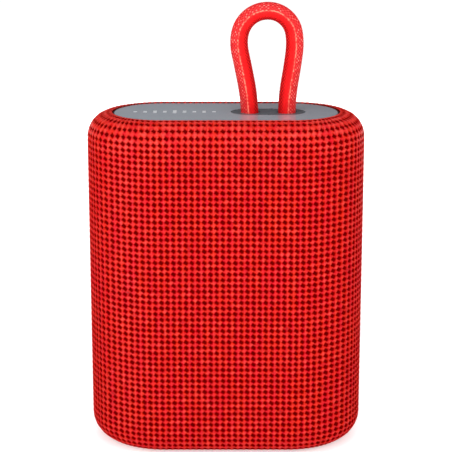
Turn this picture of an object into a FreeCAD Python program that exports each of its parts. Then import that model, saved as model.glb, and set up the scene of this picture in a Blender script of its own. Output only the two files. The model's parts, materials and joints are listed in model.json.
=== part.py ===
# Compact battery speaker with a fabric sleeve, a grey top plate and a braided carry loop.
# Units are millimetres. +X is to the right, -Y is the front, +Z is up.
# The origin is on the floor, under the centre of the body.
import FreeCAD, Part
import math
import os

# ---- driving dimensions ---------------------------------------------------------------
WIDTH = 93.0
DEPTH = 51.0
HEIGHT = 114.0
TOP_ROUND = 8.1
BOTTOM_ROUND = 8.6
FOOT_PROUD = 0.25           # the rubber foot stands this far below the fabric
FABRIC = 0.8
WALL = 2.2
BARE_FIT = 0.3              # room between pieces on different bodies
RECESS_FIT = 0.2            # the plates' and the panel's recesses are this much larger
FABRIC_FIT = 0.4            # the fabric's openings are this much larger than the plates

# Planes well outside the body, or well inside its walls, where cutting tools start and end.
FAR_FRONT, FAR_BACK = -30.0, 30.0
FAR_BELOW, FAR_ABOVE = -5.0, 130.0
FAR_SIDE = 60.0
INSIDE_BACK = 15.0
INSIDE_TOP = 100.0

PLATE_INSET = 9.0
PLATE_TOP = HEIGHT - 0.25
PLATE_THICK = 2.0
BASE_INSET = 10.0
BASE_UNDER = 0.9
BASE_THICK = 2.0
CAVITY_FLOOR = 5.2
CAVITY_TOP = 109.4
CAVITY_ROUND = 4.0

INSERT_X = 14.1             # middle of the dark insert that the loop comes out of
INSERT_Y = 0.2
INSERT_LONG = 25.0
INSERT_WIDE = 12.2
INSERT_SUNK = 0.05
INSERT_FIT = 0.2
INSERT_FLANGE = 2.0         # its flange, inside the housing, is this much wider all round
INSERT_FLANGE_THICK = 1.4

MARK_BARS = (1.6, 2.8, 4.4, 3.0, 5.2, 3.8, 2.2, 3.4, 1.6)
MARK_LEFT, MARK_STEP, MARK_WIDE = -31.0, 3.3, 1.2
MARK_DEEP, MARK_PROUD = 0.4, 0.02

CORD_D = 5.8
CORD_HOLE = 0.2             # the insert's holes are this much wider all round than the cord
MOUTH = 0.4                 # depth and extra width of the holes' flared mouths
FERRULE_R, FERRULE_TALL, FERRULE_BELOW = 3.8, 6.6, 3.0
# Points of the carry loop's route (x, z), all at y = 0: up the left leg, over, down the right.
LOOP_ROUTE = [
    (8.05, 103.0),
    (8.15, 110.5),
    (7.50, 120.0),
    (5.65, 129.3),
    (3.94, 137.1),
    (5.40, 143.4),
    (10.26, 147.5),
    (16.94, 147.65),
    (21.96, 143.5),
    (23.10, 137.1),
    (22.13, 129.2),
    (20.57, 120.0),
    (20.30, 110.5),
    (20.45, 103.0),
]

DRIVER_Z = 74.0
DRIVER_FACE = -18.5         # y of the front of the driver's and the radiator's flange
FLANGE = 2.0
DRIVER_R = 26.0
CONE_R = 19.5
CONE_NECK = 8.6             # depth of the cone's neck behind the flange's front
FORMER_R = 6.85             # outside of the voice coil's former
BAFFLE_FRONT = DRIVER_FACE + FLANGE
BAFFLE_THICK = 2.5
RADIATOR_Z = 27.0
RADIATOR_HALF = 14.0        # half the straight stretch of the long-round radiator

PANEL_Z = 57.0
PANEL_WIDE = 17.0
PANEL_TALL = 76.0
PANEL_OUT = 24.9            # y of the control panel's outer face
PANEL_LIP = 1.2             # the panel's raised rim covers this much of the fabric's edge
LIP_UNDER = 25.0            # y of the rim's underside, where the fabric is pressed in
PANEL_BACK = 20.9
PANEL_RIM = 0.7             # width of the rim that stands above the panel's outer face
PANEL_FLANGE, PANEL_FLANGE_OUT = 1.5, 22.4
PILLAR_R = 1.9
NOTCH_R = 2.2               # finger notch over the flap
BUTTON_Z = {"power": 86.0, "volume_up": 74.0, "play": 62.8, "volume_down": 51.6}
BUTTON_R = 3.7
BUTTON_FACE = 25.2          # y of the outer face of the buttons
COLLAR = 0.7                # the buttons' collars are this much wider than their caps
COLLAR_IN, COLLAR_OUT = 21.0, 21.8
STEM_R, STEM_IN = 1.2, 19.3
ICON_PROUD, ICON_STROKE, ICON_HALF = 0.2, 0.5, 1.7
PLUNGER_R, PLUNGER_IN = 1.0, 18.05
SWITCH_HALF, SWITCH_OUT = 2.25, 18.4
LIGHT_R, LIGHT_IN = 0.9, 20.0
MICROPHONE_HOLE, MICROPHONE_BACK = 0.5, 18.2
LIGHT_Z = 80.0
MICROPHONE_Z = 45.6
BAY_FLOOR = 23.0            # y of the floor of the port bay
BAY_LOW = 23.3
BAY_HIGH = 42.0
BAY_WIDE = 13.0
FLAP_PIVOT_Y = 24.1
FLAP_PIVOT_Z = 24.9
FLAP_HALF_THICK = 0.8
TETHER_HALF, TETHER_THICK = 2.5, 0.6
FLAP_GAP = 0.4              # between the flap's top and the bay
PORT_Z = 33.2
USB_X = -2.9
USB_WIDE, USB_TALL, USB_WALL = 3.16, 8.94, 0.3
CARD_X = 2.9
CARD_HALF, CARD_TALL_HALF, CARD_IN = 0.7, 6.1, 8.6

BOARD_FRONT = 16.0
BOARD_BACK = 17.2
BOARD_WIDE = 18.0
BOARD_LOW = 21.0
BOARD_HIGH = 97.0
BOARD_SCREWS = [(x, z) for z in (46.0, 92.0) for x in (-6.5, 6.5)]

SCREW_SHANK = 1.0
SCREW_HOLE = 1.05
SCREW_HEAD = 2.0
HOUSING_SCREWS = [(x, z) for z in (16.0, 98.0) for x in (-38.5, 38.5)]
BAFFLE_SCREWS = [(x, z) for z in (9.0, 103.0) for x in (-28.0, 28.0)]
DRIVER_SCREW_R = 27.5
RADIATOR_SCREWS = [(x, RADIATOR_Z + z) for z in (-11.5, 11.5) for x in (-24.0, 24.0)]
BASE_SCREWS = [(x, y) for y in (-4.0, 4.0) for x in (-18.0, 18.0)]
HOUSING_BOSS_R, BAFFLE_BOSS_R, BASE_BOSS_R = 3.2, 3.0, 2.6
HOUSING_SHANK = 1.25        # radius of the hole for a housing screw
HOUSING_HEAD = 2.5          # radius of the hole for its head and a driver bit
HOUSING_SEAT = 8.0          # y of the face that its head rests on
SKIN = 0.5                  # bosses stay this far inside the housing's outer face
BASE_HEAD, BASE_HEAD_DEEP = 2.5, 1.0
BASE_SHANK = 1.2
BASE_BOSS_TALL, BASE_HOLE_TOP = 6.0, 8.0

FOOT_LONG, FOOT_WIDE, FOOT_BAND = 68.0, 26.0, 5.0
FOOT_LET_IN = 1.0           # how deep the foot sits in the base plate

GRILLE_R = DRIVER_R - 3.0
GRILLE_STEP, GRILLE_TALL, GRILLE_ROWS = 5.0, 3.0, 4
LOW_SLOTS = (-8.0, -4.0, 0.0, 4.0, 8.0)     # heights of the radiator's slots about its centre
LOW_SLOT_TALL, LOW_SLOT_LONG, LOW_SLOT_LESS = 2.4, 44.0, 1.2

BATTERY_X = (-25.0, 25.0)
BATTERY_Y = (-9.0, -1.0)
BATTERY_Z = (11.2, 45.2)
TRAY_WALL = 1.2


# ---- small helpers --------------------------------------------------------------------
def vec(x, y, z):
    return FreeCAD.Vector(x, y, z)


def box(x0, x1, y0, y1, z0, z1):
    return Part.makeBox(x1 - x0, y1 - y0, z1 - z0, vec(x0, y0, z0))


def fused(shapes):
    whole = shapes[0]
    for shape in shapes[1:]:
        whole = whole.fuse(shape)
    return whole.removeSplitter()


def long_round(length, width, thick):
    """A flat bar with full-round ends, along X, centred on the origin, thick along Z."""
    half = length / 2 - width / 2
    radius = width / 2
    if half <= 0:
        return Part.makeCylinder(radius, thick)
    right = Part.Arc(vec(half, -radius, 0), vec(half + radius, 0, 0), vec(half, radius, 0))
    left = Part.Arc(vec(-half, radius, 0), vec(-half - radius, 0, 0), vec(-half, -radius, 0))
    low = Part.LineSegment(vec(-half, -radius, 0), vec(half, -radius, 0))
    high = Part.LineSegment(vec(half, radius, 0), vec(-half, radius, 0))
    outline = Part.Wire([edge.toShape() for edge in (low, right, high, left)])
    return Part.Face(outline).extrude(vec(0, 0, thick))


def level_bar(length, width, z0, z1, x=0.0, y=0.0):
    """A long-round bar lying level, between two heights."""
    bar = long_round(length, width, z1 - z0)
    bar.translate(vec(x, y, z0))
    return bar


def upright_bar(wide, tall, y0, y1, x=0.0, z=0.0):
    """A long-round bar standing up, between two depths."""
    bar = long_round(tall, wide, y1 - y0)
    bar.rotate(vec(0, 0, 0), vec(0, 1, 0), 90)
    bar.rotate(vec(0, 0, 0), vec(0, 0, 1), 90)
    bar.translate(vec(x, y0, z))
    return bar


def across_bar(wide, tall, y0, y1, x=0.0, z=0.0):
    """A long-round bar lying across, seen from the front, between two depths."""
    bar = long_round(wide, tall, y1 - y0)
    bar.rotate(vec(0, 0, 0), vec(1, 0, 0), -90)
    bar.translate(vec(x, y0, z))
    return bar


def disc(radius, y0, y1, x=0.0, z=0.0):
    """A cylinder along Y."""
    return Part.makeCylinder(radius, y1 - y0, vec(x, y0, z), vec(0, 1, 0))


def edges_at(shape, axis, value):
    """The edges that lie wholly at one height or depth."""
    found = []
    for edge in shape.Edges:
        low = getattr(edge.BoundBox, axis + "Min")
        high = getattr(edge.BoundBox, axis + "Max")
        if abs(low - value) < 1e-4 and abs(high - value) < 1e-4:
            found.append(edge)
    return found


def softened(shape, axis, value, radius):
    return shape.makeFillet(radius, edges_at(shape, axis, value))


def profile_face(points):
    """A flat face from (r, depth) points; a middle point in a triple makes an arc."""
    edges = []
    last = points[0]
    for item in points[1:] + [points[0]]:
        if len(item) == 4:
            middle = vec(item[0], item[1], 0)
            end = (item[2], item[3])
            edges.append(Part.Arc(vec(last[0], last[1], 0), middle, vec(end[0], end[1], 0)).toShape())
        else:
            end = item
            edges.append(Part.LineSegment(vec(last[0], last[1], 0), vec(end[0], end[1], 0)).toShape())
        last = end
    return Part.Face(Part.Wire(edges))


def turned(points, z, y=DRIVER_FACE):
    """A profile turned about the driver's axis; depth counts back from the flange's front."""
    solid = profile_face(points).revolve(vec(0, 0, 0), vec(0, 1, 0), 360)
    solid.translate(vec(0, y, z))
    return solid


def raced(points, z, half=RADIATOR_HALF, y=DRIVER_FACE):
    """A profile carried round a long-round track: two half turns and two straights."""
    face = profile_face(points)
    pieces = []
    for side in (1, -1):
        start = face.copy()
        start.rotate(vec(0, 0, 0), vec(0, 1, 0), 90 if side > 0 else -90)
        end = start.revolve(vec(0, 0, 0), vec(0, 1, 0), -180)
        end.translate(vec(side * half, 0, 0))
        straight = start.extrude(vec(2 * half, 0, 0))
        straight.translate(vec(-half, 0, 0))
        pieces += [end, straight]
    solid = fused(pieces)
    solid.translate(vec(0, y, z))
    return solid


def screw(place, direction, length, head_r=SCREW_HEAD, head_h=1.3, shank_r=SCREW_SHANK):
    """A screw with a cross recess; its shank runs from place along direction."""
    head = softened(Part.makeCylinder(head_r, head_h), "Z", head_h, head_h * 0.4)
    slot_w = head_r * 0.28
    slot_l = head_r * 1.2
    for wide, long in ((slot_w, slot_l), (slot_l, slot_w)):
        head = head.cut(box(-wide / 2, wide / 2, -long / 2, long / 2, head_h * 0.4, head_h))
    whole = fused([head, Part.makeCylinder(shank_r, length, vec(0, 0, -length))])
    whole.Placement = FreeCAD.Placement(place, FreeCAD.Rotation(vec(0, 0, -1), direction))
    return whole


def rounded_route(points):
    """Straight runs joined by tangent arcs, each as large as its shorter run allows."""
    edges = []
    radii = []
    last = points[0]
    for before, corner, after in zip(points, points[1:], points[2:]):
        back = before - corner
        on = after - corner
        reach = 0.45 * min(back.Length, on.Length)
        turn = math.pi - back.getAngle(on)
        radius = reach / math.tan(turn / 2)
        back.normalize()
        on.normalize()
        bisector = back + on
        bisector.normalize()
        middle = corner + bisector * (math.hypot(radius, reach) - radius)
        start = corner + back * reach
        end = corner + on * reach
        edges.append(Part.LineSegment(last, start).toShape())
        edges.append(Part.Arc(start, middle, end).toShape())
        radii.append(radius)
        last = end
    edges.append(Part.LineSegment(last, points[-1]).toShape())
    return Part.Wire(edges), radii


def tube(name, points, radius):
    """A round tube along a route, with its radii and its volume against section times length."""
    path, radii = rounded_route(points)
    start = points[0]
    ring = Part.Wire([Part.makeCircle(radius, start, points[1] - start)])
    solid = path.makePipeShell([ring], True, False)
    ideal = math.pi * radius ** 2 * path.Length
    print(name, "length", round(path.Length, 2), "volume ratio", round(solid.Volume / ideal, 4),
          "radii", [round(r, 1) for r in radii])
    return solid


# ---- casings --------------------------------------------------------------------------
def rounded_body(inset):
    """The speaker's outer form, drawn in by an even amount."""
    low = FOOT_PROUD + inset
    high = HEIGHT - inset
    body = level_bar(WIDTH - 2 * inset, DEPTH - 2 * inset, low, high)
    body = softened(body, "Z", high, TOP_ROUND - inset)
    return softened(body, "Z", low, BOTTOM_ROUND - inset)


def cavity(shrink=0.0):
    """The room inside the housing."""
    inset = FABRIC + WALL + shrink
    low = CAVITY_FLOOR + shrink
    high = CAVITY_TOP - shrink
    room = level_bar(WIDTH - 2 * inset, DEPTH - 2 * inset, low, high)
    room = softened(room, "Z", high, CAVITY_ROUND)
    return softened(room, "Z", low, CAVITY_ROUND)


def plate_bar(grow, z0, z1):
    return level_bar(WIDTH - 2 * PLATE_INSET + grow, DEPTH - 2 * PLATE_INSET + grow, z0, z1)


def base_bar(grow, z0, z1):
    return level_bar(WIDTH - 2 * BASE_INSET + grow, DEPTH - 2 * BASE_INSET + grow, z0, z1)


def panel_bar(grow, y0, y1):
    return upright_bar(PANEL_WIDE + grow, PANEL_TALL + grow, y0, y1, z=PANEL_Z)


def fabric_sleeve():
    sleeve = rounded_body(0).cut(rounded_body(FABRIC))
    sleeve = sleeve.cut(plate_bar(FABRIC_FIT, HEIGHT - TOP_ROUND, FAR_ABOVE))
    sleeve = sleeve.cut(base_bar(FABRIC_FIT, FAR_BELOW, BOTTOM_ROUND))
    sleeve = sleeve.cut(panel_bar(BARE_FIT, INSIDE_BACK, FAR_BACK))
    return sleeve.cut(panel_bar(2 * PANEL_LIP + BARE_FIT, LIP_UNDER, FAR_BACK))


def grille_slots():
    """Level slots ahead of the driver and of the radiator."""
    slots = []
    end = DRIVER_FACE - 1
    for step in range(-GRILLE_ROWS, GRILLE_ROWS + 1):
        rise = step * GRILLE_STEP
        wide = 2 * math.sqrt(GRILLE_R ** 2 - rise ** 2)
        slots.append(across_bar(wide, GRILLE_TALL, FAR_FRONT, end, z=DRIVER_Z + rise))
    for rise in LOW_SLOTS:
        wide = LOW_SLOT_LONG - LOW_SLOT_LESS * abs(rise)
        slots.append(across_bar(wide, LOW_SLOT_TALL, FAR_FRONT, end, z=RADIATOR_Z + rise))
    return slots


def bare_housing():
    shell = rounded_body(FABRIC).cut(cavity())
    shell = shell.cut(plate_bar(RECESS_FIT, PLATE_TOP - PLATE_THICK, FAR_ABOVE))
    shell = shell.cut(base_bar(RECESS_FIT, FAR_BELOW, BASE_UNDER + BASE_THICK))
    return shell.cut(level_bar(INSERT_LONG, INSERT_WIDE, INSIDE_TOP, FAR_ABOVE, INSERT_X, INSERT_Y))


def base_bosses(side):
    """Bosses under the cavity's floor that take the base plate's screws."""
    low = BASE_UNDER + BASE_THICK
    return [Part.makeCylinder(BASE_BOSS_R, BASE_BOSS_TALL, vec(x, y, low))
            for x, y in BASE_SCREWS if y * side > 0]


def base_holes():
    return [Part.makeCylinder(SCREW_HOLE, BASE_HOLE_TOP, vec(x, y, 0)) for x, y in BASE_SCREWS]


def front_housing():
    half = bare_housing().common(box(-FAR_SIDE, FAR_SIDE, FAR_FRONT, 0, FAR_BELOW, FAR_ABOVE))
    room = rounded_body(FABRIC + SKIN)
    bosses = [disc(HOUSING_BOSS_R, -20, 0, x, z).common(room) for x, z in HOUSING_SCREWS]
    bosses += [disc(BAFFLE_BOSS_R, FAR_FRONT, BAFFLE_FRONT, x, z).common(room) for x, z in BAFFLE_SCREWS]
    shell = fused([half] + bosses + base_bosses(-1))
    holes = [disc(HOUSING_SHANK, -11, 1, x, z) for x, z in HOUSING_SCREWS]
    holes += [disc(SCREW_HOLE, -20.5, -10, x, z) for x, z in BAFFLE_SCREWS]
    return shell.cut(holes + base_holes() + grille_slots()).removeSplitter()


def rear_housing():
    half = bare_housing().common(box(-FAR_SIDE, FAR_SIDE, 0, FAR_BACK, FAR_BELOW, FAR_ABOVE))
    room = rounded_body(FABRIC + SKIN)
    bosses = [disc(HOUSING_BOSS_R, 0, 20, x, z).common(room) for x, z in HOUSING_SCREWS]
    shell = fused([half] + bosses + base_bosses(1))
    holes = [disc(HOUSING_SHANK, -1, 20, x, z) for x, z in HOUSING_SCREWS]
    holes += [disc(HOUSING_HEAD, HOUSING_SEAT, FAR_BACK, x, z) for x, z in HOUSING_SCREWS]
    holes.append(panel_bar(RECESS_FIT, INSIDE_BACK, FAR_BACK))
    return shell.cut(holes + base_holes()).removeSplitter()


def mark_bars(z0, z1):
    """A plain row of upright bars of uneven height, as a level display shows them."""
    bars = []
    for step, tall in enumerate(MARK_BARS):
        x = MARK_LEFT + step * MARK_STEP
        bars.append(box(x, x + MARK_WIDE, -tall / 2, tall / 2, z0, z1))
    return bars


def top_plate():
    plate = plate_bar(0, PLATE_TOP - PLATE_THICK, PLATE_TOP)
    plate = softened(plate, "Z", PLATE_TOP, 0.25)
    plate = plate.cut(level_bar(INSERT_LONG, INSERT_WIDE, INSIDE_TOP, FAR_ABOVE, INSERT_X, INSERT_Y))
    return plate.cut(mark_bars(PLATE_TOP - MARK_DEEP, FAR_ABOVE))


def plate_mark():
    return Part.makeCompound(mark_bars(PLATE_TOP - MARK_DEEP, PLATE_TOP + MARK_PROUD))


def loop_insert():
    floor = PLATE_TOP - INSERT_SUNK
    bottom = CAVITY_TOP - INSERT_FLANGE_THICK - 1.0
    long, wide = INSERT_LONG - INSERT_FIT, INSERT_WIDE - INSERT_FIT
    stem = level_bar(long, wide, CAVITY_TOP - 1, floor, INSERT_X, INSERT_Y)
    grow = 2 * INSERT_FLANGE
    flange = level_bar(INSERT_LONG + grow, INSERT_WIDE + grow, bottom, CAVITY_TOP, INSERT_X, INSERT_Y)
    whole = fused([stem, flange])
    radius = CORD_D / 2 + CORD_HOLE
    for x, _ in (LOOP_ROUTE[1], LOOP_ROUTE[-2]):
        whole = whole.cut(Part.makeCylinder(radius, HEIGHT - bottom, vec(x, 0, bottom)))
        whole = whole.cut(Part.makeCone(radius, radius + MOUTH, MOUTH, vec(x, 0, floor - MOUTH)))
    return whole


def carry_loop():
    return tube("carry_loop", [vec(x, 0, z) for x, z in LOOP_ROUTE], CORD_D / 2)


def loop_ferrules():
    """A crimped cup on each end of the cord, too wide for the holes in the insert."""
    cups = []
    for x, z in (LOOP_ROUTE[0], LOOP_ROUTE[-1]):
        low = z - FERRULE_BELOW
        cup = softened(Part.makeCylinder(FERRULE_R, FERRULE_TALL, vec(x, 0, low)), "Z", low, 0.6)
        cups.append(cup.cut(Part.makeCylinder(CORD_D / 2 + 0.1, FERRULE_TALL, vec(x, 0, z - 0.2))))
    return Part.makeCompound(cups)


def foot_ring(grow, z0, z1):
    outer = level_bar(FOOT_LONG + grow, FOOT_WIDE + grow, z0, z1)
    less = 2 * FOOT_BAND + grow
    return outer.cut(level_bar(FOOT_LONG - less, FOOT_WIDE - less, z0 - 1, z1 + 1))


def base_plate():
    plate = base_bar(0, BASE_UNDER, BASE_UNDER + BASE_THICK)
    plate = softened(plate, "Z", BASE_UNDER, 0.4)
    plate = plate.cut(foot_ring(0.1, 0, BASE_UNDER + FOOT_LET_IN))
    for x, y in BASE_SCREWS:
        plate = plate.cut(Part.makeCylinder(BASE_SHANK, HEIGHT, vec(x, y, 0)))
        plate = plate.cut(Part.makeCylinder(BASE_HEAD, BASE_UNDER + BASE_HEAD_DEEP, vec(x, y, 0)))
    return plate


def rubber_foot():
    ring = foot_ring(0, 0, BASE_UNDER + FOOT_LET_IN)
    return softened(ring, "Z", 0, 0.5)


# ---- control panel and ports ----------------------------------------------------------
def control_panel():
    crest = DEPTH / 2
    rim = softened(panel_bar(2 * PANEL_LIP, LIP_UNDER, crest), "Y", crest, 0.35)
    flange = panel_bar(2 * PANEL_FLANGE, PANEL_BACK, PANEL_FLANGE_OUT)
    panel = fused([panel_bar(0, PANEL_BACK, crest - 0.1), flange, rim])
    panel = panel.cut(panel_bar(-2 * PANEL_RIM, PANEL_OUT, FAR_BACK))
    panel = panel.makeFillet(0.25, edges_at(panel, "Y", crest))
    panel = fused([panel] + [disc(PILLAR_R, BOARD_BACK, PANEL_BACK, x, z) for x, z in BOARD_SCREWS])
    cuts = [disc(SCREW_HOLE, BOARD_BACK - 1, BOARD_BACK + 5.1, x, z) for x, z in BOARD_SCREWS]
    for z in BUTTON_Z.values():
        cuts.append(disc(BUTTON_R + BARE_FIT, INSIDE_BACK, FAR_BACK, 0, z))
        cuts.append(disc(BUTTON_R + COLLAR + 0.4, PANEL_BACK - 1, COLLAR_OUT + BARE_FIT, 0, z))
    cuts.append(disc(LIGHT_R + 0.05, INSIDE_BACK, FAR_BACK, 0, LIGHT_Z))
    cuts.append(disc(MICROPHONE_HOLE, INSIDE_BACK, FAR_BACK, 0, MICROPHONE_Z))
    cuts.append(box(-BAY_WIDE / 2, BAY_WIDE / 2, BAY_FLOOR, FAR_BACK, BAY_LOW, BAY_HIGH))
    cuts.append(disc(NOTCH_R, PANEL_OUT - 1.0, FAR_BACK, 0, BAY_HIGH - FLAP_GAP))
    cuts.append(upright_bar(USB_WIDE + 0.34, USB_TALL + 0.36, INSIDE_BACK, FAR_BACK, USB_X, PORT_Z))
    half = CARD_HALF + RECESS_FIT
    tall = CARD_TALL_HALF + RECESS_FIT
    cuts.append(box(CARD_X - half, CARD_X + half, INSIDE_BACK, FAR_BACK, PORT_Z - tall, PORT_Z + tall))
    return panel.cut(cuts)


def icon(kind, z):
    """The plain raised sign on a button's face."""
    y0 = BUTTON_FACE - 0.1
    y1 = BUTTON_FACE + ICON_PROUD
    thin = ICON_STROKE / 2
    level = box(-ICON_HALF, ICON_HALF, y0, y1, z - thin, z + thin)
    if kind == "volume_down":
        return [level]
    if kind == "volume_up":
        return [level, box(-thin, thin, y0, y1, z - ICON_HALF, z + ICON_HALF)]
    if kind == "play":
        corners = [vec(1.9, y0, z - 1.3), vec(1.9, y0, z + 1.3), vec(-0.3, y0, z), vec(1.9, y0, z - 1.3)]
        triangle = Part.Face(Part.makePolygon(corners)).extrude(vec(0, y1 - y0, 0))
        return [triangle] + [box(x, x + ICON_STROKE, y0, y1, z - 1.3, z + 1.3) for x in (-1.9, -1.0)]
    ring = disc(ICON_HALF, y0, y1, 0, z).cut(disc(ICON_HALF - 0.45, y0 - 1, y1 + 1, 0, z))
    ring = ring.cut(box(-0.7, 0.7, y0 - 1, y1 + 1, z, z + 3))
    return [ring, box(-0.22, 0.22, y0, y1, z + 0.3, z + 2.0)]


def button(kind):
    z = BUTTON_Z[kind]
    cap = softened(disc(BUTTON_R, COLLAR_IN, BUTTON_FACE, 0, z), "Y", BUTTON_FACE, 0.5)
    collar = disc(BUTTON_R + COLLAR, COLLAR_IN, COLLAR_OUT, 0, z)
    stem = disc(STEM_R, STEM_IN, COLLAR_IN + 0.2, 0, z)
    return fused([cap, collar, stem] + icon(kind, z))


def switch_plunger(kind):
    return disc(PLUNGER_R, PLUNGER_IN, STEM_IN, 0, BUTTON_Z[kind])


def tact_switches():
    bodies = []
    for z in BUTTON_Z.values():
        body = box(-SWITCH_HALF, SWITCH_HALF, BOARD_BACK, SWITCH_OUT, z - SWITCH_HALF, z + SWITCH_HALF)
        bodies.append(body.cut(disc(PLUNGER_R + 0.1, BOARD_BACK + BARE_FIT, SWITCH_OUT + 1, 0, z)))
    return Part.makeCompound(bodies)


def port_flap():
    half = BAY_WIDE / 2 - BARE_FIT
    top = BAY_HIGH - FLAP_GAP
    y0 = FLAP_PIVOT_Y - FLAP_HALF_THICK
    y1 = FLAP_PIVOT_Y + FLAP_HALF_THICK
    slab = box(-half, half, y0, y1, FLAP_PIVOT_Z, top)
    root = Part.makeCylinder(FLAP_HALF_THICK, 2 * half, vec(-half, FLAP_PIVOT_Y, FLAP_PIVOT_Z), vec(1, 0, 0))
    flap = fused([slab, root])
    top_edges = [e for e in edges_at(flap, "Z", top) if abs(e.CenterOfMass.y - y1) < 1e-4]
    return flap.makeFillet(0.5, top_edges)


def flap_tether():
    y0 = FLAP_PIVOT_Y - TETHER_THICK / 2
    return box(-TETHER_HALF, TETHER_HALF, y0, y0 + TETHER_THICK, BAY_LOW, FLAP_PIVOT_Z - FLAP_HALF_THICK)


def usb_c_shell():
    shell = upright_bar(USB_WIDE, USB_TALL, BOARD_BACK, BAY_FLOOR - 0.1, USB_X, PORT_Z)
    less = 2 * USB_WALL
    return shell.cut(upright_bar(USB_WIDE - less, USB_TALL - less, BOARD_BACK + 0.4, FAR_BACK, USB_X, PORT_Z))


def usb_c_tongue():
    return box(USB_X - 0.35, USB_X + 0.35, BOARD_BACK + 0.4, BAY_FLOOR - 0.8, PORT_Z - 3.35, PORT_Z + 3.35)


def card_socket():
    half, tall = CARD_HALF, CARD_TALL_HALF
    body = box(CARD_X - half, CARD_X + half, CARD_IN, BAY_FLOOR - 0.2, PORT_Z - tall, PORT_Z + tall)
    half, tall = CARD_HALF - 0.25, CARD_TALL_HALF - 0.5
    return body.cut(box(CARD_X - half, CARD_X + half, CARD_IN + 0.6, FAR_BACK, PORT_Z - tall, PORT_Z + tall))


def status_light():
    pipe = disc(LIGHT_R, LIGHT_IN, PANEL_OUT + 0.1, 0, LIGHT_Z)
    return softened(pipe, "Y", PANEL_OUT + 0.1, 0.3)


def microphone():
    return box(-1.75, 1.75, BOARD_BACK, MICROPHONE_BACK, MICROPHONE_Z - 1.3, MICROPHONE_Z + 1.3)


def microphone_boot():
    boot = disc(1.3, MICROPHONE_BACK, PANEL_BACK, 0, MICROPHONE_Z)
    return boot.cut(disc(MICROPHONE_HOLE, MICROPHONE_BACK - 1, PANEL_BACK + 1, 0, MICROPHONE_Z))


# ---- electronics ----------------------------------------------------------------------
def main_board():
    board = box(-BOARD_WIDE / 2, BOARD_WIDE / 2, BOARD_FRONT, BOARD_BACK, BOARD_LOW, BOARD_HIGH)
    corners = [e for e in board.Edges if e.BoundBox.YLength > 1 and e.BoundBox.XLength < 1e-6]
    board = board.makeFillet(1.5, [e for e in corners if e.BoundBox.ZLength < 1e-6])
    cuts = [disc(SCREW_HOLE, 10, 20, x, z) for x, z in BOARD_SCREWS]
    cuts.append(box(CARD_X - 0.8, CARD_X + 0.8, 10, 20, PORT_Z - 6.2, PORT_Z + 6.2))
    return board.cut(cuts)


def radio_module():
    carrier = box(-6.5, 6.5, BOARD_FRONT - 0.8, BOARD_FRONT, 56.0, 72.0)
    can = box(-5.5, 5.5, BOARD_FRONT - 2.4, BOARD_FRONT - 0.8, 57.0, 68.0)
    return fused([carrier, can])


def amplifier_chip():
    return box(-3.5, 3.5, BOARD_FRONT - 1.2, BOARD_FRONT, 76.0, 83.0)


def board_capacitors():
    places = [(-6.0, 75.0), (6.0, 75.0), (-6.0, 83.0), (6.0, 83.0)]
    return Part.makeCompound([disc(1.5, BOARD_FRONT - 4.0, BOARD_FRONT, x, z) for x, z in places])


def wire_socket(z, pins):
    """A small connector housing on the board, with a pin hole for each wire."""
    half = 1.2 * pins
    body = box(-half, half, BOARD_FRONT - 4.2, BOARD_FRONT, z - 2.2, z + 2.2)
    for pin in range(pins):
        x = -half + 1.2 + pin * 2.4
        body = body.cut(disc(1.1, BOARD_FRONT - 5, BOARD_FRONT - 2.0, x, z))
    return body


def speaker_connector():
    return wire_socket(89.0, 2)


def battery_connector():
    return wire_socket(50.0, 2)


def speaker_wires():
    """Two insulated wires from the terminals on the basket up and back to the board."""
    wires = []
    for x, spread in ((-1.2, -15.0), (1.2, 15.0)):
        route = [vec(spread, -9.0, 94.0), vec(spread, -2.0, 98.5), vec(spread * 0.6, 5.5, 97.5),
                 vec(x * 1.8, 8.6, 90.6), vec(x, 13.0, 89.0)]
        wires.append(tube("speaker_wires", route, 0.6))
    return Part.makeCompound(wires)


def battery_wires():
    """Two insulated wires from the protection board to the main board."""
    wires = []
    for x in (-1.2, 1.2):
        route = [vec(x * 4.0, -5.0, 48.2), vec(x * 3.2, -0.5, 51.5), vec(x * 2.4, 4.5, 53.0),
                 vec(x * 1.4, 8.8, 51.2), vec(x, 13.0, 50.0)]
        wires.append(tube("battery_wires", route, 0.6))
    return Part.makeCompound(wires)


def battery_cell():
    cell = box(*BATTERY_X, *BATTERY_Y, *BATTERY_Z)
    uprights = [e for e in cell.Edges if e.BoundBox.ZLength > 30]
    return cell.makeFillet(2.5, uprights)


def battery_protection_board():
    return box(-14.0, 14.0, -6.5, -3.5, BATTERY_Z[1], BATTERY_Z[1] + 2.4)


def battery_foam():
    """Two strips of foam between the cell and the back of the tray."""
    return Part.makeCompound([box(x - 4, x + 4, BATTERY_Y[1], BATTERY_Y[1] + 1.0, 14.0, 42.0)
                              for x in (-16.0, 16.0)])


def battery_tray():
    """An open-topped tray that stands on the housing's bosses and holds the cell."""
    x = BATTERY_X[1] + 0.3 + TRAY_WALL
    front = BATTERY_Y[0] - 0.3 - TRAY_WALL
    back = BATTERY_Y[1] + 1.0 + TRAY_WALL
    low = BATTERY_Z[0] - TRAY_WALL
    tray = box(-x, x, front, back, low, 36.0)
    inner = box(-x + TRAY_WALL, x - TRAY_WALL, front + TRAY_WALL, back - TRAY_WALL, BATTERY_Z[0], 60.0)
    window = box(-18.0, 18.0, front - 1, front + 3, 18.0, 40.0)
    feet = [box(side * 23.2 - 2, side * 23.2 + 2, -8.0, -2.0, CAVITY_FLOOR, low) for side in (-1, 1)]
    return fused([tray.cut([inner, window])] + feet)


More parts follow.
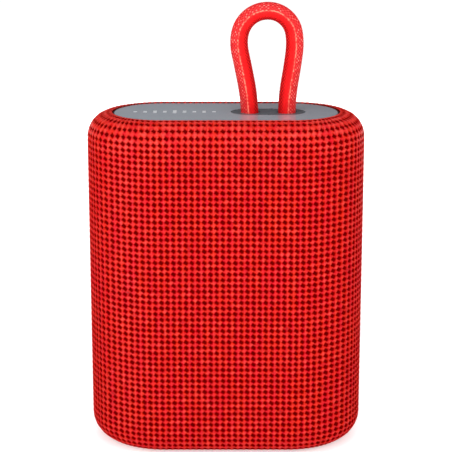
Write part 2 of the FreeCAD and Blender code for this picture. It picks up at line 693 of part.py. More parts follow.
# ---- driver ---------------------------------------------------------------------------
def baffle():
    """The inner wall that carries the driver and the radiator, notched round the bosses."""
    back = BAFFLE_FRONT + BAFFLE_THICK
    wall = cavity(0.15).common(box(-60, 60, BAFFLE_FRONT, back, 0, 130))
    bosses = [disc(2.4, back, back + 3.0, x, z) for x, z in driver_screws() + RADIATOR_SCREWS]
    wall = fused([wall] + bosses)
    cuts = [disc(24.4, -30, 0, 0, DRIVER_Z)]
    cuts.append(across_bar(2 * (RADIATOR_HALF + 11.3), 22.6, -30, 0, z=RADIATOR_Z))
    cuts += [disc(3.5, -30, 0, x, z) for x, z in HOUSING_SCREWS]
    cuts += [disc(SCREW_HOLE, -30, 0, x, z) for x, z in BAFFLE_SCREWS]
    cuts += [disc(SCREW_HOLE, -30, 0, x, z) for x, z in driver_screws() + RADIATOR_SCREWS]
    return wall.cut(cuts)


def driver_screws():
    reach = DRIVER_SCREW_R * math.sqrt(0.5)
    return [(x, DRIVER_Z + z) for z in (-reach, reach) for x in (-reach, reach)]


def driver_basket():
    """Pressed frame: a flange with four lugs, a windowed cone and a floor for the motor."""
    frame = turned([(22.6, 0), (26, 0), (26, 2), (24.2, 2), (17.2, 11.7), (17.2, 14.2), (8.4, 14.2),
                    (8.4, 13.0), (14.2, 13.0), (14.2, 11.6), (16.0, 11.6), (22.6, 2.4)], DRIVER_Z)
    lugs = []
    for x, z in driver_screws():
        lug = disc(3.4, DRIVER_FACE, BAFFLE_FRONT, x, z)
        lugs.append(lug.cut(disc(23.5, DRIVER_FACE - 1, BAFFLE_FRONT + 1, 0, DRIVER_Z)))
    windows = []
    for step in range(6):
        window = box(14.0, 30.0, DRIVER_FACE + 4.0, DRIVER_FACE + 10.0, DRIVER_Z - 6.0, DRIVER_Z + 6.0)
        window.rotate(vec(0, 0, DRIVER_Z), vec(0, 1, 0), 60 * step)
        windows.append(window)
    holes = [disc(SCREW_HOLE, -30, 0, x, z) for x, z in driver_screws()]
    return fused([frame] + lugs).cut(windows + holes)


def driver_top_plate():
    return turned([(8.2, 14.2), (15, 14.2), (15, 17.2), (8.2, 17.2)], DRIVER_Z)


def driver_magnet():
    return turned([(9.5, 17.2), (17, 17.2), (17, 25.2), (9.5, 25.2)], DRIVER_Z)


def driver_yoke():
    return turned([(0, 14.6), (5.9, 14.6), (6.2, 14.9), (6.2, 25.2), (15, 25.2), (15, 27.6),
                   (14.4, 28.2), (0, 28.2)], DRIVER_Z)


def voice_coil_former():
    return turned([(6.6, 7.6), (FORMER_R, 7.6), (FORMER_R, 19.0), (6.6, 19.0)], DRIVER_Z)


def voice_coil():
    return turned([(FORMER_R, 13.7), (7.6, 13.7), (7.6, 18.5), (FORMER_R, 18.5)], DRIVER_Z)


def driver_cone():
    profile = [(FORMER_R, CONE_NECK), (CONE_R, 0.0), (CONE_R, 0.6), (FORMER_R, CONE_NECK + 0.7)]
    return turned(profile, DRIVER_Z)


def driver_dust_cap():
    """A thin spherical cap whose rim rests on the cone."""
    rim = 8.4
    thick = 0.4
    back_r = 19.1
    rest = CONE_NECK * (CONE_R - rim) / (CONE_R - FORMER_R)
    centre = rest + math.sqrt(back_r ** 2 - rim ** 2)

    def on_sphere(radius, r):
        return (r, centre - math.sqrt(radius ** 2 - r ** 2))

    front_r = back_r + thick
    front = [on_sphere(front_r, 0), on_sphere(front_r, rim / 2) + on_sphere(front_r, rim)]
    back = [on_sphere(back_r, rim), on_sphere(back_r, rim / 2) + on_sphere(back_r, 0)]
    return turned(front + back, DRIVER_Z)


def surround_points(foot, roll, radius, rim):
    """A half-round roll between two flat feet, in (r, depth)."""
    thick = 0.5
    inner = radius - thick
    return [(foot, -thick), (roll - radius, -thick), (roll, -thick - radius, roll + radius, -thick),
            (rim, -thick), (rim, 0), (roll + inner, 0), (roll, -inner, roll - inner, 0), (foot, 0)]


def driver_surround():
    return turned(surround_points(18.6, 21.5, 1.9, 23.9), DRIVER_Z)


def driver_spider():
    """A corrugated disc from the former to the basket's ledge."""
    waves = 10
    start = FORMER_R
    end = 14.2
    crest = [(start + (end - start) * i / waves, 11.2 + (0.45 if i % 2 else -0.45)) for i in range(1, waves)]
    front = [(start, 11.2)] + crest + [(end, 11.2), (15.8, 11.2)]
    back = [(r, depth + 0.4) for r, depth in reversed(front)]
    return turned(front + back, DRIVER_Z)


def driver_gasket():
    return turned([(24.0, -1.3), (25.3, -1.3), (25.3, 0), (24.0, 0)], DRIVER_Z)


def radiator_frame():
    frame = raced([(11.5, 0), (14, 0), (14, 2), (11.5, 2)], RADIATOR_Z)
    lugs = []
    for x, z in RADIATOR_SCREWS:
        lug = disc(2.9, DRIVER_FACE, BAFFLE_FRONT, x, z)
        lugs.append(lug.cut(across_bar(2 * (RADIATOR_HALF + 12), 24.0, -25, -10, z=RADIATOR_Z)))
    frame = fused([frame] + lugs)
    return frame.cut([disc(SCREW_HOLE, -30, 0, x, z) for x, z in RADIATOR_SCREWS])


def radiator_surround():
    return raced(surround_points(6.4, 9.6, 1.6, 12.6), RADIATOR_Z)


def radiator_diaphragm():
    return across_bar(2 * (RADIATOR_HALF + 7.8), 15.6, DRIVER_FACE, DRIVER_FACE + 1.2, z=RADIATOR_Z)


def radiator_weight():
    y0 = DRIVER_FACE + 1.2
    plate = across_bar(2 * (RADIATOR_HALF + 3), 10.0, y0, y0 + 2.0, z=RADIATOR_Z)
    return softened(plate, "Y", y0 + 2.0, 0.4)


# ---- fasteners ------------------------------------------------------------------------
def small_screws():
    """Identical short screws: driver, radiator, baffle and board."""
    front = [screw(vec(x, DRIVER_FACE, z), vec(0, 1, 0), 6.0) for x, z in driver_screws() + RADIATOR_SCREWS]
    back = [screw(vec(x, BAFFLE_FRONT + BAFFLE_THICK, z), vec(0, -1, 0), 6.0) for x, z in BAFFLE_SCREWS]
    board = [screw(vec(x, BOARD_FRONT, z), vec(0, 1, 0), 6.0) for x, z in BOARD_SCREWS]
    return Part.makeCompound(front + back + board)


def housing_screws():
    return Part.makeCompound([screw(vec(x, 8.0, z), vec(0, -1, 0), 17.0, 2.3, 1.6, 1.2)
                              for x, z in HOUSING_SCREWS])


def base_screws():
    return Part.makeCompound([screw(vec(x, y, BASE_UNDER + 1.0), vec(0, 0, 1), 5.5, 2.2, 0.9)
                              for x, y in BASE_SCREWS])


PARTS = {
    "fabric_sleeve": fabric_sleeve,
    "front_housing": front_housing,
    "rear_housing": rear_housing,
    "top_plate": top_plate,
    "plate_mark": plate_mark,
    "loop_insert": loop_insert,
    "carry_loop": carry_loop,
    "loop_ferrules": loop_ferrules,
    "base_plate": base_plate,
    "rubber_foot": rubber_foot,
    "control_panel": control_panel,
    "tact_switches": tact_switches,
    "port_flap": port_flap,
    "flap_tether": flap_tether,
    "usb_c_shell": usb_c_shell,
    "usb_c_tongue": usb_c_tongue,
    "card_socket": card_socket,
    "status_light": status_light,
    "microphone": microphone,
    "microphone_boot": microphone_boot,
    "main_board": main_board,
    "radio_module": radio_module,
    "amplifier_chip": amplifier_chip,
    "board_capacitors": board_capacitors,
    "speaker_connector": speaker_connector,
    "battery_connector": battery_connector,
    "speaker_wires": speaker_wires,
    "battery_wires": battery_wires,
    "battery_cell": battery_cell,
    "battery_protection_board": battery_protection_board,
    "battery_foam": battery_foam,
    "battery_tray": battery_tray,
    "baffle": baffle,
    "driver_basket": driver_basket,
    "driver_top_plate": driver_top_plate,
    "driver_magnet": driver_magnet,
    "driver_yoke": driver_yoke,
    "voice_coil_former": voice_coil_former,
    "voice_coil": voice_coil,
    "driver_cone": driver_cone,
    "driver_dust_cap": driver_dust_cap,
    "driver_surround": driver_surround,
    "driver_spider": driver_spider,
    "driver_gasket": driver_gasket,
    "radiator_frame": radiator_frame,
    "radiator_surround": radiator_surround,
    "radiator_diaphragm": radiator_diaphragm,
    "radiator_weight": radiator_weight,
    "small_screws": small_screws,
    "housing_screws": housing_screws,
    "base_screws": base_screws,
}


def write(name, shape):
    shape.exportStep("parts/" + name + ".step")
    solids = [s for s in shape.Solids if s.isValid()]
    flag = "" if len(solids) == len(shape.Solids) and solids else "  NOT VALID"
    print(name, len(shape.Solids), "solids", round(shape.Volume, 1), "mm3" + flag)


os.makedirs("parts", exist_ok=True)
for part_name, make in PARTS.items():
    write(part_name, make())
for kind in BUTTON_Z:
    write(kind + "_button", button(kind))
    write(kind + "_switch_plunger", switch_plunger(kind))
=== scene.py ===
import json
import math

import bmesh
import bpy
import numpy as np
from mathutils import Vector
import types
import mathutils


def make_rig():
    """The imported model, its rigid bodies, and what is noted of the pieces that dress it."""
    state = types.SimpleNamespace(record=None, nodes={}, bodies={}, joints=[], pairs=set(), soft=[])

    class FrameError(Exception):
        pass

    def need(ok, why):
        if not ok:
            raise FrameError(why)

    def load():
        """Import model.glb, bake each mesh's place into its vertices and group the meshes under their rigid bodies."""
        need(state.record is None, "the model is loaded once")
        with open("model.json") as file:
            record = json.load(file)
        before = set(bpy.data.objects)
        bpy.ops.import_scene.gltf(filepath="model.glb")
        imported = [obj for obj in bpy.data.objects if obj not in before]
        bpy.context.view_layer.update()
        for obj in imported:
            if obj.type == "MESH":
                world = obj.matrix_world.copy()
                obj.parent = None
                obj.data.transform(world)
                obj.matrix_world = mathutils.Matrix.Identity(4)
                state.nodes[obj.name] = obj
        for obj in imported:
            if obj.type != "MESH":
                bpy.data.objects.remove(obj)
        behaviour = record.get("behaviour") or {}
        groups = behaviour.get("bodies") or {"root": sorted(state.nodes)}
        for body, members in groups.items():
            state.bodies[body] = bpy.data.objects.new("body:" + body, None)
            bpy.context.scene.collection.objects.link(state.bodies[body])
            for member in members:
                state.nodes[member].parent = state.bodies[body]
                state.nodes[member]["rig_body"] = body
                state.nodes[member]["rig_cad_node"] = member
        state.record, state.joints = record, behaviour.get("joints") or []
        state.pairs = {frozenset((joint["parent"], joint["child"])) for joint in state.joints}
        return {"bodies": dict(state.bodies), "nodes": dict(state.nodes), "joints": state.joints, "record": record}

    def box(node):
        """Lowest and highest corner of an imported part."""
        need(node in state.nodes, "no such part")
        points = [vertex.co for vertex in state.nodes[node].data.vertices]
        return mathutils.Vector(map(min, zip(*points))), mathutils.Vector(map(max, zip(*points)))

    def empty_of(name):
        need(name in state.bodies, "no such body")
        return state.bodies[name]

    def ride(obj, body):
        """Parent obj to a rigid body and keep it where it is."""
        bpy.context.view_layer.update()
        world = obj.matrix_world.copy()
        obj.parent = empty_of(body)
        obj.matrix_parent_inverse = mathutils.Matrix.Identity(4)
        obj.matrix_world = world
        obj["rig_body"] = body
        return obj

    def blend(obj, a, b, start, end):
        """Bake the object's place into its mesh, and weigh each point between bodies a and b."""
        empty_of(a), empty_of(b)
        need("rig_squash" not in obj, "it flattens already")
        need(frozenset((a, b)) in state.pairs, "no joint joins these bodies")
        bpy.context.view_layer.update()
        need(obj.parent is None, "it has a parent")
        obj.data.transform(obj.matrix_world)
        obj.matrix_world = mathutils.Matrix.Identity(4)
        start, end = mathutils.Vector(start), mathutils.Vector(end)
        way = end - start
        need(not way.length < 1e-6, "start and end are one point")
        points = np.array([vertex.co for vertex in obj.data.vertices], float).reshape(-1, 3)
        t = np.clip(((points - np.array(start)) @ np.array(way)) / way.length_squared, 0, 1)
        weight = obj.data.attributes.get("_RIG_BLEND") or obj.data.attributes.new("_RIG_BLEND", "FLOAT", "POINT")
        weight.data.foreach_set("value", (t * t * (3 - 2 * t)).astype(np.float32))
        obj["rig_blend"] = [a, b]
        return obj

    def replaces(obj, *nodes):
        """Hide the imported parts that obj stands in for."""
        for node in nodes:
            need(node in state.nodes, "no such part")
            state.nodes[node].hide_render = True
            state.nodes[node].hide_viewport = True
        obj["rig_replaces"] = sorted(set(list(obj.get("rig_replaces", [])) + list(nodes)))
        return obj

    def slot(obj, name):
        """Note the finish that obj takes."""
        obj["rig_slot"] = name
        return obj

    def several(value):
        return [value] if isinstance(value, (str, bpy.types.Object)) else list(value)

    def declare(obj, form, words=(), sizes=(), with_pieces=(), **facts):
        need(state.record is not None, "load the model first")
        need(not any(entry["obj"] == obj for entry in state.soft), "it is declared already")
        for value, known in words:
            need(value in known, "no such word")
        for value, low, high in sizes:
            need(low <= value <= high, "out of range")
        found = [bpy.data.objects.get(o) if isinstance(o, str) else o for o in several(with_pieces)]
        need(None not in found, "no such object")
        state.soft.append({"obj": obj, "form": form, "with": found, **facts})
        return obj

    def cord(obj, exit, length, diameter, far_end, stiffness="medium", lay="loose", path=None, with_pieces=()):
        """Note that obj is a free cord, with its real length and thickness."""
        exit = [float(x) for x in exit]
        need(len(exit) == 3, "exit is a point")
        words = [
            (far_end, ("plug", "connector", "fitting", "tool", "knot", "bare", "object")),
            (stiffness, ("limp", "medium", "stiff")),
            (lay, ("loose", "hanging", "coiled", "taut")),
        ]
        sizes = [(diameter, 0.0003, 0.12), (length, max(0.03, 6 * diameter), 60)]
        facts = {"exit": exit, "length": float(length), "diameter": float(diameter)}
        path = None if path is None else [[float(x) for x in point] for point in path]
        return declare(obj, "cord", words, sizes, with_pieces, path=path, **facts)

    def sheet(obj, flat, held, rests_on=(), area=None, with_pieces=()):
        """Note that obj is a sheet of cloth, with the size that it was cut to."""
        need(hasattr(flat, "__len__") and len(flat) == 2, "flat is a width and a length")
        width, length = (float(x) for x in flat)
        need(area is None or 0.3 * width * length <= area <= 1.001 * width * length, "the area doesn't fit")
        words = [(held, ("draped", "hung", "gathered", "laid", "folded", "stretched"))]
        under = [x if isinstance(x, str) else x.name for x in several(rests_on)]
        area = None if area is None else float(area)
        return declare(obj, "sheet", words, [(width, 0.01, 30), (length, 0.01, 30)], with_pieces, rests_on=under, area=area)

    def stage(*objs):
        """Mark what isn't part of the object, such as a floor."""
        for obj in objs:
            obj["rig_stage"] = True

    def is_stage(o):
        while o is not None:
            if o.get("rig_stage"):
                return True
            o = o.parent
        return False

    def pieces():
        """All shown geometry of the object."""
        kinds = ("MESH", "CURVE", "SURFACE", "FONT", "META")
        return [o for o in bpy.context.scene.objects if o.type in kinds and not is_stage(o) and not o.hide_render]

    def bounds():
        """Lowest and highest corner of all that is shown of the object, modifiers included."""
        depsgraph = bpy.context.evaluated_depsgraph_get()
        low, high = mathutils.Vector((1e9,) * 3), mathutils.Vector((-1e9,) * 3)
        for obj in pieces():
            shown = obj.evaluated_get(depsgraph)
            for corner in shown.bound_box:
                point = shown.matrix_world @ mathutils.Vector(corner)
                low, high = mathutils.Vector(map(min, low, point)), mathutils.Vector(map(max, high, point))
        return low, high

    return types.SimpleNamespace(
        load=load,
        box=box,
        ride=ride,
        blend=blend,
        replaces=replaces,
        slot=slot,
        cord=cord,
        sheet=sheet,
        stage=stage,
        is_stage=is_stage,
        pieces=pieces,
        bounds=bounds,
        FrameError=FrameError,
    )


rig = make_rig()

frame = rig.load()
cad_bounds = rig.bounds()

MM = 0.001
NOT_ZERO = 1e-6


def box_mm(node):
    """The low and the high corner of a CAD node's box, in millimetres."""
    return [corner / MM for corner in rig.box(node)]


# ---- sizes, the same as the CAD's -----------------------------------------------------
SLEEVE_LOW, SLEEVE_HIGH = box_mm("fabric_sleeve")
HALF_WIDE, HALF_DEEP = SLEEVE_HIGH.x, SLEEVE_HIGH.y
TOP, BOTTOM = SLEEVE_HIGH.z, SLEEVE_LOW.z
TOP_ROUND, BOTTOM_ROUND = 8.1, 8.6
TOP_OPENING, BOTTOM_OPENING = 8.8, 9.8      # how far in the fabric's cut edges are
STRAIGHT = HALF_WIDE - HALF_DEEP            # half the flat stretch of the front
FABRIC = 0.8
BOTTOM_TAPER = 0.27                         # the sleeve is this much slimmer at its foot
SHEET_HEIGHT = 124.6                        # of the flat fabric, from cut edge to cut edge

OPENING_HALF = 8.5                          # half the width of the panel's opening
OPENING_Z = 57.0
OPENING_RUN = 29.5                          # half the straight stretch of the panel's opening
LIP_REACH = 1.2                             # the panel's rim reaches this far past the opening
PRESSED = 24.9                              # y of the fabric where the rim presses on it

# ---- the sleeve, as a way down from the top opening's edge ----------------------------
TOP_FLAT = TOP_OPENING - TOP_ROUND
TOP_ARC = TOP_ROUND * math.pi / 2
SIDE_RUN = TOP - BOTTOM - TOP_ROUND - BOTTOM_ROUND
BOTTOM_ARC = BOTTOM_ROUND * math.pi / 2
BOTTOM_FLAT = BOTTOM_OPENING - BOTTOM_ROUND
SIDE_END = TOP_FLAT + TOP_ARC + SIDE_RUN
SLEEVE_END = SIDE_END + BOTTOM_ARC + BOTTOM_FLAT

# ---- the weave ------------------------------------------------------------------------
COLUMN = 2.028                              # pitch of the holes across the front
FRONT_COLUMNS, SIDE_COLUMNS = 19, 9         # of one quarter of the way round
ROW = 1.9416
FIRST_ROW, LAST_ROW, ROW_ZERO = -3, 51, 103.05
MIDDLE_ROW, ROW_DRIFT = 30, 0.000286        # rows draw apart a little towards the top and foot
TOP_ROWS = (7.3, 4.7, 2.3)                  # insets of the rows over the shoulder
BOTTOM_ROWS = (3.71, 5.66, 7.6)
HOLE_SHAPE = 1.1                            # 1 is a diamond, 2 a circle
HOLE_LEAN = 0.2                             # the holes lean, as the knit does
TALLEST = 1.06                              # holes are at most this much taller than a row's pitch
# In RINGS the pit is the share of painted shade: the yarn is painted darker going down into each hole.
RINGS = ((0.81, -0.14, 0.32), (0.65, -0.37, 0.95), (0.42, -0.53, 1.0))  # (reach, lift, pit)
# The eight points round a cell or a ring from the upper left, in half cells across and down, how far out each of a
# ring's is, and how pale or deep its yarn is painted: a painted highlight at the hole's upper and lower left, painted
# shade below it and at its lower right.
EIGHT = ((-1, -1), (0, -1), (1, -1), (1, 0), (1, 1), (0, 1), (-1, 1), (-1, 0))
RING_STRETCH = (0.98, 1.04, 0.92, 0.98, 1.06, 1.08, 0.98, 1.12)
RING_SHADING = (0.9, -0.3, 0.2, -0.1, -0.7, -0.6, 0.7, 0.1)
# Lift, pit and tint of the yarn at a cell's corners, on its upright sides and its level sides: the crossings get a
# painted highlight, the sides between the holes painted shade, the level sides the most.
YARN = {(0, 0): (0.0, 0.0, 0.35), (1, 0): (-0.08, 0.12, 0.1), (0, 1): (-0.14, 0.12, -0.25)}
TINT_SPREAD = 0.6                           # how uneven the yarn's tint is from point to point
SIZE_SPREAD, PLACE_SPREAD, LEAN_SPREAD = 0.05, 0.025, 0.06  # how uneven the holes are
MOST_UNEVEN = 1.5                           # no hole is further out of line than this many spreads
SIZE_BIAS = 0.5                             # holes are this many spreads smaller than the pattern
# The rows that turn down at a cut edge: lift, the painted shade where the edge dips down, and how much more painted
# shade every other point has, as a row of dark dots.
HEM_ROWS = ((-0.06, 0.0, 0.5), (-0.3, 0.2, 0.8), (-0.7, 0.8, 0.2))
# The hems' yarn is painted pale as a highlight on the edge's shine.
HEM_AT, HEM_HIGHLIGHT = 0.5, 1.6                 # where the hem by the plate turns down, and how pale it is
HEM_TURN = 0.2                              # rows of the weave from the last holes to a hem
FIRST_EDGE = 0.1                            # least way from that hem to the first row's cells
# A painted highlight makes the yarn on the rows near the plate paler.
TOP_HIGHLIGHT, TOP_HIGHLIGHT_TO = 1.0, 22.0           # the yarn is paler down to this way from the plate
PUFF = 0.1                                  # the yarn stands this far off the CAD surface
# Columns turn from upright planes to a fan over this share of the sleeve's round ends.
PLANAR_FROM, PLANAR_TO = 0.15, 0.8
OPENING_CUT = 0.3                           # the fabric ends this far outside the panel's opening
LIP_CLEAR, LIP_EASE = 0.2, 1.2              # past the rim the fabric rises again over this stretch
HOLES_ABOVE = 0.03                          # the holes end this far above the housing

# ---- the cord -------------------------------------------------------------------------
CORD_D = 5.8
CORD_LENGTH = 100.0
# The (x, z) of the spline's control points, from inside the insert round to inside it again.
LOOP_ROUTE = (
    (8.05, 103.0), (8.15, 110.5), (7.50, 120.0), (5.65, 129.3), (3.94, 137.1), (5.40, 143.4),
    (10.26, 147.5), (16.94, 147.65), (21.96, 143.5), (23.10, 137.1), (22.13, 129.2),
    (20.57, 120.0), (20.30, 110.5), (20.45, 103.0),
)
ROUTE_STEPS = 24                            # points of the line in each stretch of the route
STITCHES_ROUND = 16
STITCH_LONG = 1.2
SIDES_PER_STITCH = 6
BRAID_OUT = 0.02                            # how far the braid's mean is past the cord's radius
STITCH_HIGH = 0.075                         # how far a stitch stands out of that mean, or a gap sinks
RIDGE_AT = math.radians(8)                  # the ridge stands this far outward of the front
RIDGE_WIDE = math.radians(5.5)
RIDGE_HIGH = 0.08
RIDGE_SMOOTH = 0.6                          # the share of the stitches' height lost on the ridge

# ---- the rear and the drivers ---------------------------------------------------------
ICON_AT = 25.3                              # the buttons' raised icons lie beyond this y
ICON_EDGE = 0.02                            # their print fades in over this much either side of it
# The reach of each surround's inner foot, the middle and the radius of its roll, and the body
# that it lets move.
SURROUNDS = {
    "driver_surround": (18.6, 21.5, 1.9, "cone"),
    "radiator_surround": (6.4, 9.6, 1.6, "radiator"),
}
SURROUND_THICK = 0.5
SECTORS, SECTOR_STEPS, ROLL_STEPS = 16, 4, 14
ROUND_WITHIN = 0.1                          # a track with a shorter straight stretch is a circle
TETHER_STEPS = 8
TETHER_SUNK = 0.5                           # the tether runs this far up into the flap's root
TETHER_BEND = 0.2                           # it starts to bend this far below the flap
TETHER_CHAMFER, TETHER_EDGE = 0.2, 0.6      # its chamfers' width, and its edges' share of its depth

# ---- colours and gloss ----------------------------------------------------------------
YARN_COOL, YARN_WARM = (0.77, 0.0, 0.010), (0.83, 0.014, 0.0)
# The yarn's painted highlight colour and painted shade colour, which the tint's random spread also reaches as uneven
# dye.
YARN_PALE_AND_HIGHLIGHT, YARN_DEEP_AND_SHADE = (0.98, 0.075, 0.055), (0.44, 0.0, 0.002)
PLY_SHADE = (0.40, 0.0, 0.002)
# Painted shade for the holes, which are only shallow pits; it is deeper or paler with the dye.
HOLE_SHADE_DEEP, HOLE_SHADE_PALE = (0.115, 0.0, 0.0), (0.175, 0.001, 0.001)
BRAID_COOL, BRAID_WARM = (0.73, 0.006, 0.008), (0.79, 0.010, 0.010)
# The outer half's tone, and the painted shade in the gaps between the stitches.
BRAID_OUTER, BRAID_GAP_SHADE = (0.56, 0.024, 0.028), (0.36, 0.003, 0.005)
# A painted highlight on the stitches' crests, and painted shade in the inner half's gaps.
STITCH_HIGHLIGHT, STITCH_SHADE = (1.0, 0.23, 0.19), (0.14, 0.001, 0.001)
# A painted highlight along the seam.
RIDGE_HIGHLIGHT = (1.0, 0.26, 0.17)
PLATE_DEEP, PLATE_PALE = (0.308, 0.336, 0.380), (0.354, 0.382, 0.428)
PLATE_IOR = 2.15
GLOSS_SPREAD = 0.08                         # how far a plain finish's roughness varies either way

# ---- camera, lights and room, in metres -----------------------------------------------
CAMERA_AT = (0.0, -0.56608, 0.21676)
CAMERA_FACING = Vector((0.0, 0.96975, -0.24410))
CAMERA_LENS, CAMERA_SENSOR = 136.47, 36
# Each light's place, its width and height, its power, and whether smooth faces mirror it.
LIGHTS = {
    "key": ((-0.05, -0.52, 0.47), (0.75, 0.42), 3.95, True),
    "left": ((-0.55, -0.22, 0.16), (0.3, 0.5), 1.65, False),
    "right": ((0.55, -0.22, 0.16), (0.3, 0.5), 1.4, False),
    "low": ((0.0, -0.62, 0.12), (0.8, 0.2), 0.4, False),
    "rear": ((0.15, 0.62, 0.24), (0.9, 0.35), 2.6, False),
    "top": ((0.0, -0.08, 0.72), (0.6, 0.4), 1.45, True),
    "strip": ((0.0, 0.60, 0.055), (0.9, 0.1), 0.8, True),
}
LIGHTS_AIM = Vector((0.0, 0.0, 0.065))
ROOM_TINT = (0.93, 0.96, 1.0, 1)
ROOM_DIM, ROOM_GLOW = 0.03, 0.20
GLOW_TOWARDS = Vector((-0.075, 0.98, 0.19))
GLOW_EDGE = 0.985                           # cosine of the glow's half width
WHITE = (1, 1, 1, 1)
FLOOR_HALF, FLOOR_CELLS = 3.0, 8
FLOOR_NEAR, FLOOR_FAR = 0.15, 0.8           # how far out the floor starts and stops to brighten
FLOOR_DIM, FLOOR_BRIGHT = 0.5, 1.02         # the strength of its own light there


# ---- node materials -------------------------------------------------------------------
class Nodes:
    """A node tree and a short way to add nodes to it."""

    def __init__(self, tree):
        self.tree = tree

    def add(self, kind, settings=None, **inputs):
        node = self.tree.nodes.new("ShaderNode" + kind)
        for key, value in (settings or {}).items():
            setattr(node, key, value)
        self.feed(node, **inputs)
        return node

    def feed(self, node, **inputs):
        """Link or set inputs by their name, with _ for a space, or by their number, as in _0."""
        for key, value in inputs.items():
            key = key.replace("_", " ")
            socket = node.inputs[int(key[1:])] if key[1:].isdigit() else node.inputs[key]
            if isinstance(value, bpy.types.NodeSocket):
                self.tree.links.new(value, socket)
            else:
                socket.default_value = value


class Finish(Nodes):
    """A material, its node tree and the steps that the finishes share."""

    def __init__(self, name):
        self.material = bpy.data.materials.new(name)
        self.material.use_nodes = True
        super().__init__(self.material.node_tree)
        self.shader = self.tree.nodes["Principled BSDF"]

    def surface(self, **inputs):
        self.feed(self.shader, **inputs)
        return self.material

    def attribute(self, name, output="Fac"):
        return self.add("Attribute", {"attribute_name": name}).outputs[output]

    def coordinates(self, size, stretch=(1, 1, 1)):
        """Object coordinates in which one unit is size millimetres."""
        place = self.add("TexCoord").outputs["Object"]
        scale = tuple(1 / (size * MM * s) for s in stretch)
        return self.add("Mapping", Vector=place, Scale=scale).outputs["Vector"]

    def noise(self, size, detail=2.0, stretch=(1, 1, 1)):
        vector = self.coordinates(size, stretch)
        return self.add("TexNoise", Vector=vector, Scale=1.0, Detail=detail).outputs[0]

    def spread(self, value, low, high, start=0.3, stop=0.7):
        """value, from start to stop, becomes low to high."""
        node = self.add("MapRange", Value=value, From_Min=start, From_Max=stop, To_Min=low, To_Max=high)
        return node.outputs[0]

    def math(self, operation, a, b):
        return self.add("Math", {"operation": operation}, _0=a, _1=b).outputs[0]

    def both(self, a, b):
        return self.math("MULTIPLY", a, b)

    def weigh(self, a, a_share, b, b_share):
        return self.math("ADD", self.both(a, a_share), self.both(b, b_share))

    def blend(self, share, *colors):
        """From the first colour to the second, each a socket or plain red, green and blue."""
        a, b = (c if isinstance(c, bpy.types.NodeSocket) else (*c, 1.0) for c in colors)
        node = self.add("Mix", {"data_type": "RGBA"}, _0=share, _6=a, _7=b)
        return node.outputs[2]

    def bump(self, height, depth):
        """height from 0 to 1 is depth millimetres."""
        return self.add("Bump", Height=height, Distance=depth * MM, Strength=1.0).outputs[0]


def moulded(name, color, rough, mottle=0.12, patch=4.0, grain=0.3, depth=0.012, metal=0.0,
            stretch=(1, 1, 1)):
    """Plastic, rubber, metal and the like: mottled colour, uneven gloss and a fine grain."""
    finish = Finish(name)
    patches = finish.noise(patch, 3.0)
    fine = finish.noise(grain, 2.0, stretch)
    share = finish.spread(finish.weigh(patches, 1.0, fine, 0.4), 0.0, 1.0, 0.45, 0.95)
    dark, light = ([c * (1 + change) for c in color] for change in (-mottle, mottle))
    return finish.surface(
        Base_Color=finish.blend(share, dark, light),
        Roughness=finish.spread(patches, rough - GLOSS_SPREAD, rough + GLOSS_SPREAD),
        Metallic=metal,
        Normal=finish.bump(fine, depth),
    )


# ---- meshes ---------------------------------------------------------------------------
def mesh_object(name, places, faces, values=None, vectors=None):
    """A smooth mesh from points in millimetres, with point attributes, loose points left out."""
    mesh = bpy.data.meshes.new(name)
    mesh.from_pydata([tuple(p * MM) for p in np.asarray(places, float)], [], faces)
    for key, data in (values or {}).items():
        attribute = mesh.attributes.new(key, "FLOAT", "POINT")
        attribute.data.foreach_set("value", np.array(data, np.float32))
    for key, data in (vectors or {}).items():
        attribute = mesh.attributes.new(key, "FLOAT_VECTOR", "POINT")
        attribute.data.foreach_set("vector", np.array(data, np.float32).ravel())
    work = bmesh.new()
    work.from_mesh(mesh)
    bmesh.ops.delete(work, geom=[v for v in work.verts if not v.link_faces], context="VERTS")
    work.to_mesh(mesh)
    work.free()
    mesh.polygons.foreach_set("use_smooth", [True] * len(mesh.polygons))
    thing = bpy.data.objects.new(name, mesh)
    bpy.context.scene.collection.objects.link(thing)
    return thing


def tube_faces(rings, count):
    """Quads between rings of count points each, one ring after the other."""
    faces = []
    for start in range(0, (rings - 1) * count, count):
        for k in range(count):
            a, b = start + k, start + (k + 1) % count
            faces.append((a, b, b + count, a + count))
    return faces


def smooth(share):
    return share * share * (3 - 2 * share)


# ---- fabric sleeve --------------------------------------------------------------------
def down_the_sleeve(way):
    """Inset, height and the normal's rise, a way down from the top opening's edge."""
    over = np.clip((way - TOP_FLAT) / TOP_ROUND, 0, math.pi / 2)
    under = np.clip((way - SIDE_END) / BOTTOM_ROUND, 0, math.pi / 2)
    side = np.clip(way - TOP_FLAT - TOP_ARC, 0, SIDE_RUN)
    last = np.clip(way - SIDE_END - BOTTOM_ARC, 0, None)
    inset = np.clip(TOP_FLAT - way, 0, None) + TOP_ROUND * (1 - np.sin(over))
    inset = inset + BOTTOM_ROUND * (1 - np.cos(under)) + last
    height = TOP - TOP_ROUND * (1 - np.cos(over)) - side - BOTTOM_ROUND * np.sin(under)
    return inset, height, math.pi / 2 - over - under


